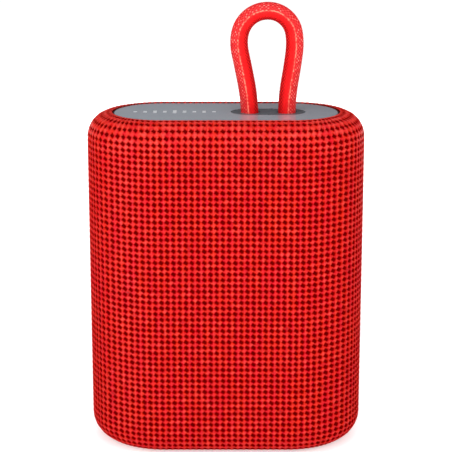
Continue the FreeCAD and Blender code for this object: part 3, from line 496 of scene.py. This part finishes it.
def row_stations():
    """How far down the sleeve each row of holes is."""
    stations = [TOP_FLAT + TOP_ROUND * math.asin(1 - inset / TOP_ROUND) for inset in TOP_ROWS]
    for row in range(FIRST_ROW, LAST_ROW + 1):
        height = ROW_ZERO - ROW * row + ROW_DRIFT * (row - MIDDLE_ROW) ** 2
        drop = TOP - TOP_ROUND - height
        if drop < 0:
            stations.append(TOP_FLAT + TOP_ROUND * math.acos(-drop / TOP_ROUND))
        elif drop < SIDE_RUN:
            stations.append(TOP_FLAT + TOP_ARC + drop)
        else:
            stations.append(SIDE_END + BOTTOM_ROUND * math.asin((drop - SIDE_RUN) / BOTTOM_ROUND))
    for inset in BOTTOM_ROWS:
        stations.append(SIDE_END + BOTTOM_ROUND * math.acos(1 - inset / BOTTOM_ROUND))
    return stations


def row_edges():
    """How far down the sleeve each edge between two rows of holes is, and the outer two."""
    rows = row_stations()
    between = [(a + b) / 2 for a, b in zip(rows, rows[1:])]
    first = rows[0] - (between[0] - rows[0])
    last = rows[-1] + (rows[-1] - between[-1])
    return [max(first, HEM_AT + FIRST_EDGE)] + between + [last]


def column_edges():
    """How far round from the middle of the front each column's edge is, over one quarter."""
    edges = []
    for step in range(FRONT_COLUMNS + 1):
        x = step * COLUMN
        edges.append(x if x <= STRAIGHT else STRAIGHT + HALF_DEEP * math.asin((x - STRAIGHT) / HALF_DEEP))
    depth = HALF_DEEP * math.cos((edges[-1] - STRAIGHT) / HALF_DEEP)
    for step in range(1, SIDE_COLUMNS + 1):
        y = depth * (1 - step / SIDE_COLUMNS)
        edges.append(STRAIGHT + HALF_DEEP * math.acos(y / HALF_DEEP))
    return edges


def with_middles(edges):
    """The edges and the middles between them, in turn."""
    count = len(edges)
    return np.interp(np.arange(2 * count - 1) / 2, np.arange(count), edges)


def round_the_plan(way, inset):
    """Plan position, a way round from the middle of the front, either way."""
    quarter = STRAIGHT + HALF_DEEP * math.pi / 2
    way = (way + 2 * quarter) % (4 * quarter) - 2 * quarter
    side = np.sign(way)
    way = np.abs(way)
    rear = way > quarter
    way = np.where(rear, 2 * quarter - way, way)
    turn = np.clip((way - STRAIGHT) / HALF_DEEP, 0, None)
    reach = HALF_DEEP - inset
    share = np.sin(turn)
    fan = smooth(np.clip((share - PLANAR_FROM) / (PLANAR_TO - PLANAR_FROM), 0, 1))
    turn = fan * turn + (1 - fan) * np.arcsin(np.clip(HALF_DEEP * share / reach, 0, 1))
    x = np.minimum(way, STRAIGHT) + reach * np.sin(turn)
    y = -reach * np.cos(turn)
    return side * x, np.where(rear, -y, y)


def under_the_rim(x, y, z, lift):
    """The fabric on the rear cut at the panel's opening and pressed in under its rim."""
    off = z - np.clip(z, OPENING_Z - OPENING_RUN, OPENING_Z + OPENING_RUN)
    far = np.hypot(x, off)
    gap = far - OPENING_HALF
    rear = y > HALF_DEEP / 2
    cut = (OPENING_HALF + OPENING_CUT) / np.maximum(far, NOT_ZERO)
    push = np.where(rear & (gap < OPENING_CUT), cut, 1.0)
    ease = np.clip((gap - LIP_REACH - LIP_CLEAR) / LIP_EASE, 0, 1)
    cap = PRESSED + (HALF_DEEP - PRESSED) * smooth(ease) + np.minimum(lift, 0) * ease
    floor = HALF_DEEP - FABRIC + HOLES_ABOVE
    y = np.where(rear, np.minimum(y, np.maximum(cap, floor)), y)
    return np.stack([x * push, y, z + off * (push - 1)], -1), np.where(rear, gap, np.inf)


def sleeve_points(way, down, lift):
    """Points on the sleeve, lifted off its face, and how far outside the opening each is."""
    inset, height, rise = down_the_sleeve(down)
    taper = BOTTOM_TAPER * np.clip(1 - (height - BOTTOM) / (TOP - BOTTOM), 0, 1)
    lift = lift + PUFF
    x, y = round_the_plan(way, inset - lift * np.cos(rise))
    x, y = x * (1 - taper / HALF_WIDE), y * (1 - taper / HALF_DEEP)
    return under_the_rim(x, y, height + lift * np.sin(rise), lift)


def ring_offsets(reach):
    """Eight points of a rounded, uneven diamond, in half cells."""
    diagonal = 0.5 ** (1 / HOLE_SHAPE)
    for (a, b), out in zip(EIGHT, RING_STRETCH):
        out *= reach * (diagonal if a and b else 1)
        yield a * out, b * out


class Knit:
    """One half of the sleeve: a cell for each hole, its rings going down into the hole."""

    def __init__(self, columns, first_column):
        self.across, self.down = with_middles(columns), with_middles(row_edges())
        self.first_column = first_column
        self.chance = np.random.default_rng(abs(first_column))
        self.spots, self.lifts, self.pits, self.tints, self.weave = [], [], [], [], []
        self.faces = []
        self.lattice = self.add_lattice()
        for r in range(1, len(self.down), 2):
            for c in range(1, len(self.across), 2):
                self.add_hole(r, c)
        self.add_hem(0, HEM_AT, -1)
        self.add_hem(len(self.down) - 1, SLEEVE_END, 1)

    def add_point(self, way, station, lift, pit, tint, place):
        """A point's number. Its place is the column and the row of the weave that it is in."""
        self.spots.append((way, station))
        self.lifts.append(lift)
        self.pits.append(pit)
        # Painted highlight on the rows near the plate; the random spread is the yarn's uneven dye.
        highlight = TOP_HIGHLIGHT * max(0.0, 1 - station / TOP_HIGHLIGHT_TO)
        self.tints.append(tint + highlight + TINT_SPREAD * self.chance.standard_normal())
        column, row = place
        self.weave.append((self.first_column + column, row, 0.0))
        return len(self.spots) - 1

    def add_lattice(self):
        """The cells' corners and the middles of their sides, by half row and half column."""
        lattice = {}
        for r, station in enumerate(self.down):
            for c, way in enumerate(self.across):
                if (r % 2, c % 2) in YARN:
                    lattice[r, c] = self.add_point(way, station, *YARN[r % 2, c % 2], (c / 2, r / 2))
        return lattice

    def add_hole(self, r, c):
        """The hole whose middle is at half row r and half column c."""
        outer = [self.lattice[r + b, c + a] for a, b in EIGHT]
        size, aside, aslant, lean = self.chance.standard_normal(4).clip(-MOST_UNEVEN, MOST_UNEVEN)
        size = 1 + SIZE_SPREAD * (size - SIZE_BIAS)
        lean = HOLE_LEAN + LEAN_SPREAD * lean
        wide = (self.across[c + 1] - self.across[c - 1]) / 2
        tall = min(self.down[r + 1] - self.down[r - 1], TALLEST * ROW) / 2
        for reach, lift, pit in RINGS:
            inner = []
            for (p, q), tint in zip(ring_offsets(reach * size), RING_SHADING):
                p += lean * q * reach + PLACE_SPREAD * aside
                q += PLACE_SPREAD * aslant
                spot = self.across[c] + p * wide, self.down[r] + q * tall
                inner.append(self.add_point(*spot, lift, pit, tint, ((c + p) / 2, (r + q) / 2)))
            for k in range(8):
                self.faces.append((outer[k], inner[k], inner[(k + 1) % 8], outer[(k + 1) % 8]))
            outer = inner
        self.faces.append(tuple(reversed(outer)))

    def add_hem(self, r, station, turn):
        """The rows from half row r down into the cut edge at station; turn is -1 at the top."""
        last = [self.lattice[r, c] for c in range(len(self.across))]
        for lift, pit, dash in HEM_ROWS:
            fresh = []
            for c, way in enumerate(self.across):
                place = (c / 2, r / 2 + turn * HEM_TURN)
                fresh.append(self.add_point(way, station, lift, pit + dash * (c % 2), HEM_HIGHLIGHT, place))
            for k in range(len(fresh) - 1):
                quad = (last[k], last[k + 1], fresh[k + 1], fresh[k])
                self.faces.append(quad if turn < 0 else quad[::-1])
            last = fresh

    def mesh(self, name):
        way, station = np.array(self.spots).T
        places, gaps = sleeve_points(way, station, np.array(self.lifts))
        faces = [face for face in self.faces if max(gaps[v] for v in face) > OPENING_CUT]
        return mesh_object(name, places, faces, {"pit": self.pits, "tint": self.tints},
                           {"weave": self.weave})


def fabric_finish():
    """Red mesh cloth: yarn with uneven dye, painted highlights and painted shade on the yarn, and painted shade in the
    holes, which are shallow pits.
    """
    finish = Finish("sleeve_cloth")
    pit = finish.attribute("pit")
    # The tint holds each point's painted highlight and painted shade, and the yarn's random uneven dye.
    tint = finish.attribute("tint")
    weave = finish.attribute("weave", "Vector")
    dye = finish.add("TexNoise", Vector=weave, Scale=1.5, Detail=3.0, Roughness=0.65).outputs[0]
    upright = finish.add("Mapping", Vector=weave, Scale=(1.3, 0.09, 1.0)).outputs[0]
    strand = finish.add("TexNoise", Vector=upright, Scale=1.0, Detail=2.0).outputs[0]
    batch = finish.weigh(dye, 0.5, strand, 0.5)
    ply = finish.add("TexNoise", Vector=weave, Scale=3.4, Detail=4.0, Roughness=0.7).outputs[0]
    hue = finish.blend(finish.spread(batch, 0, 1, 0.43, 0.57), YARN_COOL, YARN_WARM)
    # Paler for painted highlights and random paler dye, deeper for painted shade and random deeper dye.
    hue = finish.blend(finish.spread(tint, 0, 0.75, 0.25, 1.7), hue, YARN_PALE_AND_HIGHLIGHT)
    hue = finish.blend(finish.spread(tint, 0, 0.85, -0.2, -1.3), hue, YARN_DEEP_AND_SHADE)
    hue = finish.blend(finish.spread(ply, 0.0, 0.6, 0.52, 0.36), hue, PLY_SHADE)
    # Painted shade in the holes, uneven with the dye.
    hole_shade = finish.blend(finish.spread(dye, 0, 1), HOLE_SHADE_DEEP, HOLE_SHADE_PALE)
    slanted = finish.add("Mapping", Vector=weave, Rotation=(0, 0, math.radians(38))).outputs[0]
    twist = finish.add("TexWave", Vector=slanted, Scale=2.6, Distortion=1.2, Detail=1.0).outputs[0]
    fuzz = finish.add("TexNoise", Vector=weave, Scale=9.0, Detail=3.0).outputs[0]
    return finish.surface(
        # Painted shade: the pit share blends the yarn towards the holes' painted shade.
        Base_Color=finish.blend(finish.spread(pit, 0, 1, 0.05, 0.65), hue, hole_shade),
        Roughness=finish.spread(fuzz, 0.28, 0.42),
        Specular_IOR_Level=finish.spread(pit, 0.50, 0.0, 0.0, 0.3),
        Normal=finish.bump(finish.weigh(twist, 0.6, fuzz, 0.5), 0.12),
    )


def add_sleeve():
    quarter = column_edges()
    half_way = quarter[-1]
    half = [-w for w in reversed(quarter[1:])] + quarter
    columns_round = FRONT_COLUMNS + SIDE_COLUMNS
    cloth = fabric_finish()
    for name, start, first_column in (("sleeve_front", 0.0, -columns_round),
                                      ("sleeve_rear", 2 * half_way, columns_round)):
        piece = Knit([start + w for w in half], first_column).mesh(name)
        piece.data.materials.append(cloth)
        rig.ride(piece, "housing")
        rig.replaces(piece, "fabric_sleeve")
        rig.slot(piece, "red_fabric")
        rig.sheet(piece, flat=(2 * half_way * MM, SHEET_HEIGHT * MM), held="stretched",
                 rests_on=["front_housing", "rear_housing"])


# ---- the cord -------------------------------------------------------------------------
def loop_line():
    """The cord's centreline: points along its route's NURBS spline, in metres."""
    curve = bpy.data.curves.new("loop_route", "CURVE")
    curve.dimensions = "3D"
    curve.resolution_u = ROUTE_STEPS
    spline = curve.splines.new("NURBS")
    spline.points.add(len(LOOP_ROUTE) - 1)
    for point, (x, z) in zip(spline.points, LOOP_ROUTE):
        point.co = (x * MM, 0.0, z * MM, 1.0)
    spline.order_u = 3
    spline.use_endpoint_u = True
    route = bpy.data.objects.new("loop_route", curve)
    line = bpy.data.meshes.new_from_object(route)
    points = np.array([tuple(v.co) for v in line.vertices])
    bpy.data.meshes.remove(line)
    bpy.data.objects.remove(route)
    return points


def evenly(points, spacing):
    """The same line with evenly spaced points, and how far along each is."""
    steps = np.linalg.norm(np.diff(points, axis=0), axis=1)
    along = np.concatenate([[0.0], np.cumsum(steps)])
    ways = np.linspace(0.0, along[-1], int(round(along[-1] / spacing)) + 1)
    return np.stack([np.interp(ways, along, points[:, k]) for k in range(3)], -1), ways


def ridge_height(around):
    """1 on the seams along the cord's front and back, falling to 0 beside them."""
    height = np.zeros_like(around)
    for at in (RIDGE_AT, math.pi - RIDGE_AT):
        off = np.abs((around - at + math.pi) % (2 * math.pi) - math.pi)
        height = np.maximum(height, np.exp(-((off / RIDGE_WIDE) ** 2)))
    return height


def braided_tube(name, line):
    """A tube whose surface is a braid of stitches, with a raised seam along its front and back."""
    centres, ways = evenly(line / MM, STITCH_LONG / SIDES_PER_STITCH)
    tangent = np.gradient(centres, axis=0)
    tangent /= np.linalg.norm(tangent, axis=1)[:, None]
    outward = np.stack([-tangent[:, 2], np.zeros(len(ways)), tangent[:, 0]], -1)
    front = np.array([0.0, -1.0, 0.0])
    sides = STITCHES_ROUND * SIDES_PER_STITCH
    around, along = np.meshgrid(np.arange(sides) * 2 * math.pi / sides, ways)
    u = around * STITCHES_ROUND / (2 * math.pi)
    v = along / STITCH_LONG
    bumps = np.cos(2 * math.pi * u) * np.cos(2 * math.pi * v)
    ridge = ridge_height(around)
    stitches = STITCH_HIGH * bumps * (1 - RIDGE_SMOOTH * ridge)
    radius = CORD_D / 2 + BRAID_OUT + stitches + RIDGE_HIGH * ridge
    places = (
        centres[:, None, :]
        + (radius * np.sin(around))[..., None] * outward[:, None, :]
        + (radius * np.cos(around))[..., None] * front
    )
    faces = tube_faces(len(ways), sides)
    faces.append(tuple(reversed(range(sides))))
    faces.append(tuple(range((len(ways) - 1) * sides, len(ways) * sides)))
    braid = np.stack([u, v, np.sin(around)], -1)
    return mesh_object(name, places.reshape(-1, 3), faces,
                       {"ridge": ridge.ravel(), "crest": bumps.ravel()}, {"braid": braid})


def cord_finish():
    """Red braid: painted highlights on the stitches' crests and painted shade in their gaps on its outer half, a
    plainer inner half with painted shade in its gaps, and a painted highlight on the seam.
    """
    finish = Finish("loop_braid")
    ridge = finish.attribute("ridge")
    crest = finish.attribute("crest")
    braid = finish.attribute("braid", "Vector")
    outward = finish.add("SeparateXYZ", Vector=braid).outputs[2]
    outer = finish.spread(outward, 0.0, 1.0, -0.1, 0.5)
    inner = finish.spread(outward, 0.0, 1.0, -0.42, -0.75)
    cell = finish.add("Mapping", Vector=braid, Scale=(2, 2, 2), Location=(0.5, 0.5, 0.5)).outputs[0]
    cell = finish.add("VectorMath", {"operation": "FLOOR"}, _0=cell).outputs[0]
    chance = finish.add("TexWhiteNoise", {"noise_dimensions": "2D"}, Vector=cell).outputs[0]
    soft = finish.add("TexNoise", Vector=braid, Scale=0.35, Detail=2.0).outputs[0]
    fibre = finish.add("TexNoise", Vector=braid, Scale=5.0, Detail=3.0).outputs[0]
    # Painted shade in the gaps between the stitches, on the outer half.
    gap = finish.both(finish.spread(crest, 0, 0.7, -0.1, -0.7), outer)
    # Painted highlight on the crests of random stitches, on the outer half.
    highlight = finish.both(finish.spread(chance, 0.05, 1, 0.3, 0.95), outer)
    highlight = finish.both(highlight, finish.spread(crest, 0, 1, 0.1, 0.6))
    # Painted shade in the gaps between the stitches, on the inner half.
    dark = finish.both(finish.spread(crest, 0.1, 1, 0.3, -0.5), inner)
    # Painted highlight along the seam, on random stitches.
    seam_highlight = finish.both(finish.spread(ridge, 0, 1, 0.35, 0.9), finish.spread(chance, 0.1, 0.9, 0.2, 0.8))
    hue = finish.blend(finish.spread(soft, 0, 1, 0.35, 0.65), BRAID_COOL, BRAID_WARM)
    hue = finish.blend(finish.both(outer, 0.5), hue, BRAID_OUTER)
    hue = finish.blend(gap, hue, BRAID_GAP_SHADE)
    hue = finish.blend(highlight, hue, STITCH_HIGHLIGHT)
    hue = finish.blend(dark, hue, STITCH_SHADE)
    return finish.surface(
        Base_Color=finish.blend(seam_highlight, hue, RIDGE_HIGHLIGHT),
        Roughness=finish.spread(fibre, 0.5, 0.75),
        Specular_IOR_Level=finish.spread(outward, 0.10, 0.22, -0.3, 0.3),
        Normal=finish.bump(fibre, 0.05),
    )


def add_cord():
    line = loop_line()
    loop = braided_tube("carry_cord", line)
    loop.data.materials.append(cord_finish())
    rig.ride(loop, "housing")
    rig.replaces(loop, "carry_loop")
    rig.slot(loop, "cord_red")
    insert_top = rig.box("loop_insert")[1].z
    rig.cord(loop, exit=(LOOP_ROUTE[0][0] * MM, 0.0, insert_top), length=CORD_LENGTH * MM,
            diameter=CORD_D * MM, far_end="object", stiffness="stiff", lay="loose",
            path=[tuple(p) for p in line])


# ---- finishes of the CAD pieces -------------------------------------------------------
PLAIN_FINISHES = {
    "housing_black": dict(color=(0.022, 0.022, 0.024), rough=0.55),
    "mark_silver": dict(color=(0.60, 0.62, 0.65), rough=0.35, mottle=0.05, grain=0.12, depth=0.003),
    "insert_grey": dict(color=(0.089, 0.098, 0.113), rough=0.30, grain=0.2, depth=0.003),
    "steel": dict(color=(0.55, 0.55, 0.57), rough=0.3, metal=1.0, stretch=(1, 1, 12), depth=0.004),
    "base_black": dict(color=(0.030, 0.031, 0.034), rough=0.6, grain=0.35, depth=0.02),
    "foot_rubber": dict(color=(0.020, 0.020, 0.021), rough=0.8, grain=0.25, depth=0.02),
    "panel_black": dict(color=(0.017, 0.018, 0.020), rough=0.48, grain=0.28, depth=0.012),
    "plunger_plastic": dict(color=(0.45, 0.44, 0.40), rough=0.5),
    "flap_rubber": dict(color=(0.022, 0.023, 0.025), rough=0.66, grain=0.25, depth=0.014),
    "boot_rubber": dict(color=(0.03, 0.03, 0.032), rough=0.75),
    "chip_black": dict(color=(0.018, 0.018, 0.020), rough=0.45, grain=0.15, depth=0.006),
    "capacitor_metal": dict(color=(0.6, 0.6, 0.62), rough=0.3, metal=1.0, stretch=(1, 1, 8), depth=0.003),
    "connector_white": dict(color=(0.72, 0.69, 0.60), rough=0.45),
    "wire_cover": dict(color=(0.35, 0.02, 0.02), rough=0.45, patch=8.0, mottle=0.25),
    "cell_silver": dict(color=(0.42, 0.44, 0.48), rough=0.35, metal=0.8, grain=0.8, depth=0.05, patch=12.0),
    "foam": dict(color=(0.030, 0.030, 0.032), rough=0.95, grain=0.7, depth=0.25),
    "basket_metal": dict(color=(0.05, 0.05, 0.055), rough=0.5, metal=0.3, grain=0.3, depth=0.02),
    "ferrite": dict(color=(0.035, 0.034, 0.036), rough=0.6, grain=0.5, depth=0.03, mottle=0.3),
    "former_foil": dict(color=(0.55, 0.36, 0.16), rough=0.35, metal=0.5, stretch=(6, 1, 1), depth=0.005),
    "cone_paper": dict(color=(0.040, 0.038, 0.038), rough=0.85, grain=0.5, depth=0.05, mottle=0.3,
                       patch=2.0),
    "surround_rubber": dict(color=(0.020, 0.020, 0.021), rough=0.5, grain=0.3, depth=0.01),
    "screw_black": dict(color=(0.05, 0.05, 0.052), rough=0.35, metal=0.8, grain=0.2, depth=0.004),
}


def plate_finish():
    """Smooth grey plastic under a clear gloss, with a faint speckle."""
    finish = Finish("plate_gloss")
    speck = finish.noise(0.22, 1.0)
    cloud = finish.noise(9.0, 2.0)
    tone = finish.weigh(speck, 0.5, cloud, 0.5)
    return finish.surface(
        Base_Color=finish.blend(finish.spread(tone, 0, 1), PLATE_DEEP, PLATE_PALE),
        Roughness=finish.spread(cloud, 0.10, 0.16),
        IOR=PLATE_IOR,
        Normal=finish.bump(speck, 0.001),
    )


def button_finish():
    """Black rubber with a white print on the raised icons."""
    finish = Finish("button_rubber")
    patches = finish.noise(3.0, 3.0)
    grain = finish.noise(0.22, 2.0)
    depth = finish.add("SeparateXYZ", Vector=finish.coordinates(1.0)).outputs[1]
    printed = finish.spread(depth, 0.0, 1.0, ICON_AT - ICON_EDGE, ICON_AT + ICON_EDGE)
    rubber = finish.blend(finish.spread(patches, 0, 1), (0.024, 0.025, 0.027), (0.031, 0.032, 0.035))
    return finish.surface(
        Base_Color=finish.blend(printed, rubber, (0.62, 0.63, 0.64)),
        Roughness=finish.spread(patches, 0.55, 0.7),
        Normal=finish.bump(grain, 0.012),
    )


def board_finish():
    """Green solder mask over copper tracks."""
    finish = Finish("board_mask")
    tracks = finish.add("TexBrick", Vector=finish.coordinates(9.0), Scale=5.0, Mortar_Size=0.04,
                        Color1=(0, 0, 0, 1), Color2=(0.1, 0.1, 0.1, 1), Mortar=WHITE).outputs[0]
    patches = finish.noise(3.0, 3.0)
    mask = finish.blend(finish.spread(patches, 0, 1), (0.010, 0.080, 0.032), (0.014, 0.110, 0.045))
    return finish.surface(
        Base_Color=finish.blend(tracks, mask, (0.03, 0.17, 0.06)),
        Roughness=finish.spread(patches, 0.25, 0.4),
        Normal=finish.bump(tracks, 0.035),
    )


def wound_finish():
    """Fine copper wire wound round the former, along Y."""
    finish = Finish("coil_winding")
    turns = finish.add("TexWave", {"bands_direction": "Y"}, Vector=finish.coordinates(1.0), Scale=1.6,
                       Distortion=0.3, Detail=1.0).outputs[0]
    return finish.surface(
        Base_Color=finish.blend(turns, (0.30, 0.08, 0.03), (0.62, 0.22, 0.09)),
        Metallic=0.9,
        Roughness=finish.spread(turns, 0.45, 0.3, 0, 1),
        Normal=finish.bump(turns, 0.08),
    )


def spider_finish():
    """Corrugated yellow cloth stiffened with resin."""
    finish = Finish("spider_weave")
    warp, weft = (
        finish.add("TexWave", {"bands_direction": way}, Vector=finish.coordinates(1.0), Scale=0.9).outputs[0]
        for way in "XZ"
    )
    weave = finish.math("MAXIMUM", warp, weft)
    return finish.surface(
        Base_Color=finish.blend(weave, (0.28, 0.16, 0.05), (0.60, 0.42, 0.17)),
        Roughness=0.8,
        Normal=finish.bump(weave, 0.12),
    )


def light_finish():
    """A clear diffuser with a faint cloud."""
    finish = Finish("light_diffuser")
    cloud = finish.noise(0.6, 2.0)
    return finish.surface(
        Base_Color=finish.blend(finish.spread(cloud, 0, 1), (0.70, 0.74, 0.78), (0.9, 0.93, 0.95)),
        Roughness=finish.spread(cloud, 0.15, 0.3),
        Transmission_Weight=0.4,
        Coat_Weight=0.3,
    )


def add_finishes():
    slots = {part["node"]: part["material_slot"] for part in frame["record"]["subparts"]}
    made = {name: moulded(name, **how) for name, how in PLAIN_FINISHES.items()}
    made["plate_grey"] = plate_finish()
    made["button_rubber"] = button_finish()
    made["board_green"] = board_finish()
    made["copper"] = wound_finish()
    made["spider_cloth"] = spider_finish()
    made["light_clear"] = light_finish()
    made["red_fabric"] = bpy.data.materials["sleeve_cloth"]
    made["cord_red"] = bpy.data.materials["loop_braid"]
    for name, thing in frame["nodes"].items():
        thing.data.materials.clear()
        thing.data.materials.append(made[slots[name]])


# ---- rubber that bends ----------------------------------------------------------------
def add_tether():
    """The flap's rubber strap, which bends as the flap opens."""
    low, high = box_mm("flap_tether")
    middle, half_deep = (low.y + high.y) / 2, (high.y - low.y) / 2
    half = [(low.x, TETHER_EDGE), (low.x + TETHER_CHAMFER, 1.0),
            (high.x - TETHER_CHAMFER, 1.0), (high.x, TETHER_EDGE)]
    rim = half + [(x, -share) for x, share in reversed(half)]
    end = high.z + TETHER_SUNK
    heights = np.linspace(low.z, end, TETHER_STEPS + 1)
    places = [(x, middle + share * half_deep, z) for z in heights for x, share in rim]
    faces = [face[::-1] for face in tube_faces(len(heights), len(rim))]
    faces.append(tuple(range(len(rim))))
    faces.append(tuple(reversed(range(len(places) - len(rim), len(places)))))
    strap = mesh_object("flap_strap", places, faces)
    strap.data.materials.append(bpy.data.materials["flap_rubber"])
    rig.blend(strap, "housing", "flap", (0.0, middle * MM, (high.z - TETHER_BEND) * MM),
             (0.0, middle * MM, end * MM))
    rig.replaces(strap, "flap_tether")
    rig.slot(strap, "flap_rubber")


def surround_profile(foot, roll, radius, rim):
    """A half-round roll between two flat feet, in (reach, depth)."""
    inside = radius - SURROUND_THICK
    turn = np.linspace(0, math.pi, ROLL_STEPS)
    front = [(roll - radius * math.cos(a), -SURROUND_THICK - radius * math.sin(a)) for a in turn]
    back = [(roll + inside * math.cos(a), -inside * math.sin(a)) for a in turn]
    return [(foot, -SURROUND_THICK)] + front + [(rim, -SURROUND_THICK), (rim, 0)] + back + [(foot, 0)]


def surround_sectors(half):
    """Stretches of a long-round track, each a list of (middle of its arc, turn)."""
    step = 2 * math.pi / SECTORS
    stretches = []
    for sector in range(SECTORS):
        middle = half if sector < SECTORS // 2 else -half
        turns = [-math.pi / 2 + step * (sector + k / SECTOR_STEPS) for k in range(SECTOR_STEPS + 1)]
        stretches.append([(middle, turn) for turn in turns])
    if half > ROUND_WITHIN:
        stretches.append([(half, math.pi / 2), (-half, math.pi / 2)])
        stretches.append([(-half, -math.pi / 2), (half, -math.pi / 2)])
    return stretches


def add_surround(node, foot, roll, radius, body):
    """A rubber surround in short sectors: each rolls as its inner foot moves with the body."""
    low, high = box_mm(node)
    rim = (high.z - low.z) / 2
    profile = surround_profile(foot, roll, radius, rim)

    def place(middle, turn, reach, depth=0.0):
        return middle + reach * math.cos(turn), high.y + depth, low.z + rim + reach * math.sin(turn)

    for number, track in enumerate(surround_sectors(high.x - rim)):
        places = [place(*station, *point) for station in track for point in profile]
        piece = mesh_object(f"{node}_{number:02d}", places, tube_faces(len(track), len(profile)))
        piece.data.materials.append(bpy.data.materials["surround_rubber"])
        centre = [(a + b) / 2 for a, b in zip(track[0], track[-1])]
        ends = [tuple(c * MM for c in place(*centre, reach)) for reach in (roll + radius, roll - radius)]
        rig.blend(piece, "housing", body, *ends)
        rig.replaces(piece, node)
        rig.slot(piece, "surround_rubber")


# ---- camera and light -----------------------------------------------------------------
def place_object(name, data, location, facing):
    """An object at location whose own -Z axis points the way of facing."""
    thing = bpy.data.objects.new(name, data)
    thing.location = location
    thing.rotation_mode = "QUATERNION"
    thing.rotation_quaternion = facing.to_track_quat("-Z", "Y")
    bpy.context.scene.collection.objects.link(thing)
    return thing


def add_camera():
    camera = bpy.data.cameras.new("camera")
    camera.lens = CAMERA_LENS
    camera.sensor_width = CAMERA_SENSOR
    bpy.context.scene.camera = place_object("camera", camera, CAMERA_AT, CAMERA_FACING)


def add_light(name, place, size, power, mirrored):
    """A soft box that faces the middle of the object."""
    lamp = bpy.data.lights.new(name, "AREA")
    lamp.shape = "RECTANGLE"
    lamp.size, lamp.size_y = size
    lamp.energy = power
    thing = place_object(name, lamp, place, LIGHTS_AIM - Vector(place))
    thing.visible_camera = False
    thing.visible_glossy = mirrored


def add_world():
    """White where the camera looks past the object; to it, a dim room with a glow behind."""
    world = bpy.data.worlds.new("world")
    world.use_nodes = True
    world.node_tree.nodes.clear()
    nodes = Nodes(world.node_tree)
    way = nodes.add("TexCoord").outputs["Generated"]
    near = nodes.add("VectorMath", {"operation": "DOT_PRODUCT"}, _0=way, _1=GLOW_TOWARDS.normalized())
    glow = nodes.add("MapRange", {"interpolation_type": "SMOOTHSTEP"}, Value=near.outputs["Value"],
                     From_Min=GLOW_EDGE, From_Max=1.0, To_Min=ROOM_DIM, To_Max=ROOM_GLOW).outputs[0]
    room = nodes.add("Background", Color=ROOM_TINT, Strength=glow).outputs[0]
    seen = nodes.add("Background", Color=WHITE).outputs[0]
    straight = nodes.add("LightPath").outputs["Is Camera Ray"]
    sky = nodes.add("MixShader", _0=straight, _1=room, _2=seen).outputs[0]
    nodes.add("OutputWorld", Surface=sky)
    bpy.context.scene.world = world


def floor_finish():
    """White paper that brightens away from the object until its edge can't be told."""
    finish = Finish("floor_paper")
    grain = finish.noise(1.5, 2.0)
    place = finish.add("TexCoord").outputs["Object"]
    far = finish.add("VectorMath", {"operation": "LENGTH"}, _0=place).outputs["Value"]
    return finish.surface(
        Base_Color=finish.blend(grain, (0.80, 0.80, 0.80), (0.84, 0.84, 0.84)),
        Roughness=0.9,
        Specular_IOR_Level=0.1,
        Emission_Color=WHITE,
        Emission_Strength=finish.spread(far, FLOOR_DIM, FLOOR_BRIGHT, FLOOR_NEAR, FLOOR_FAR),
    )


def add_floor():
    """A plain white floor, which shows only the soft shadows on it."""
    work = bmesh.new()
    bmesh.ops.create_grid(work, x_segments=FLOOR_CELLS, y_segments=FLOOR_CELLS, size=FLOOR_HALF)
    mesh = bpy.data.meshes.new("floor")
    work.to_mesh(mesh)
    work.free()
    mesh.materials.append(floor_finish())
    floor = bpy.data.objects.new("floor", mesh)
    bpy.context.scene.collection.objects.link(floor)
    floor.visible_glossy = False
    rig.stage(floor)


add_camera()
add_cord()
add_sleeve()
add_finishes()
add_tether()
for surround, shape in SURROUNDS.items():
    add_surround(surround, *shape)
add_floor()
for light, how in LIGHTS.items():
    add_light(light, *how)
add_world()
bpy.context.scene.view_settings.view_transform = "Standard"

with open("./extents.json", "w") as out:
    sizes = {"cad": cad_bounds, "visual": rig.bounds()}
    json.dump({name: [list(corner) for corner in pair] for name, pair in sizes.items()}, out)
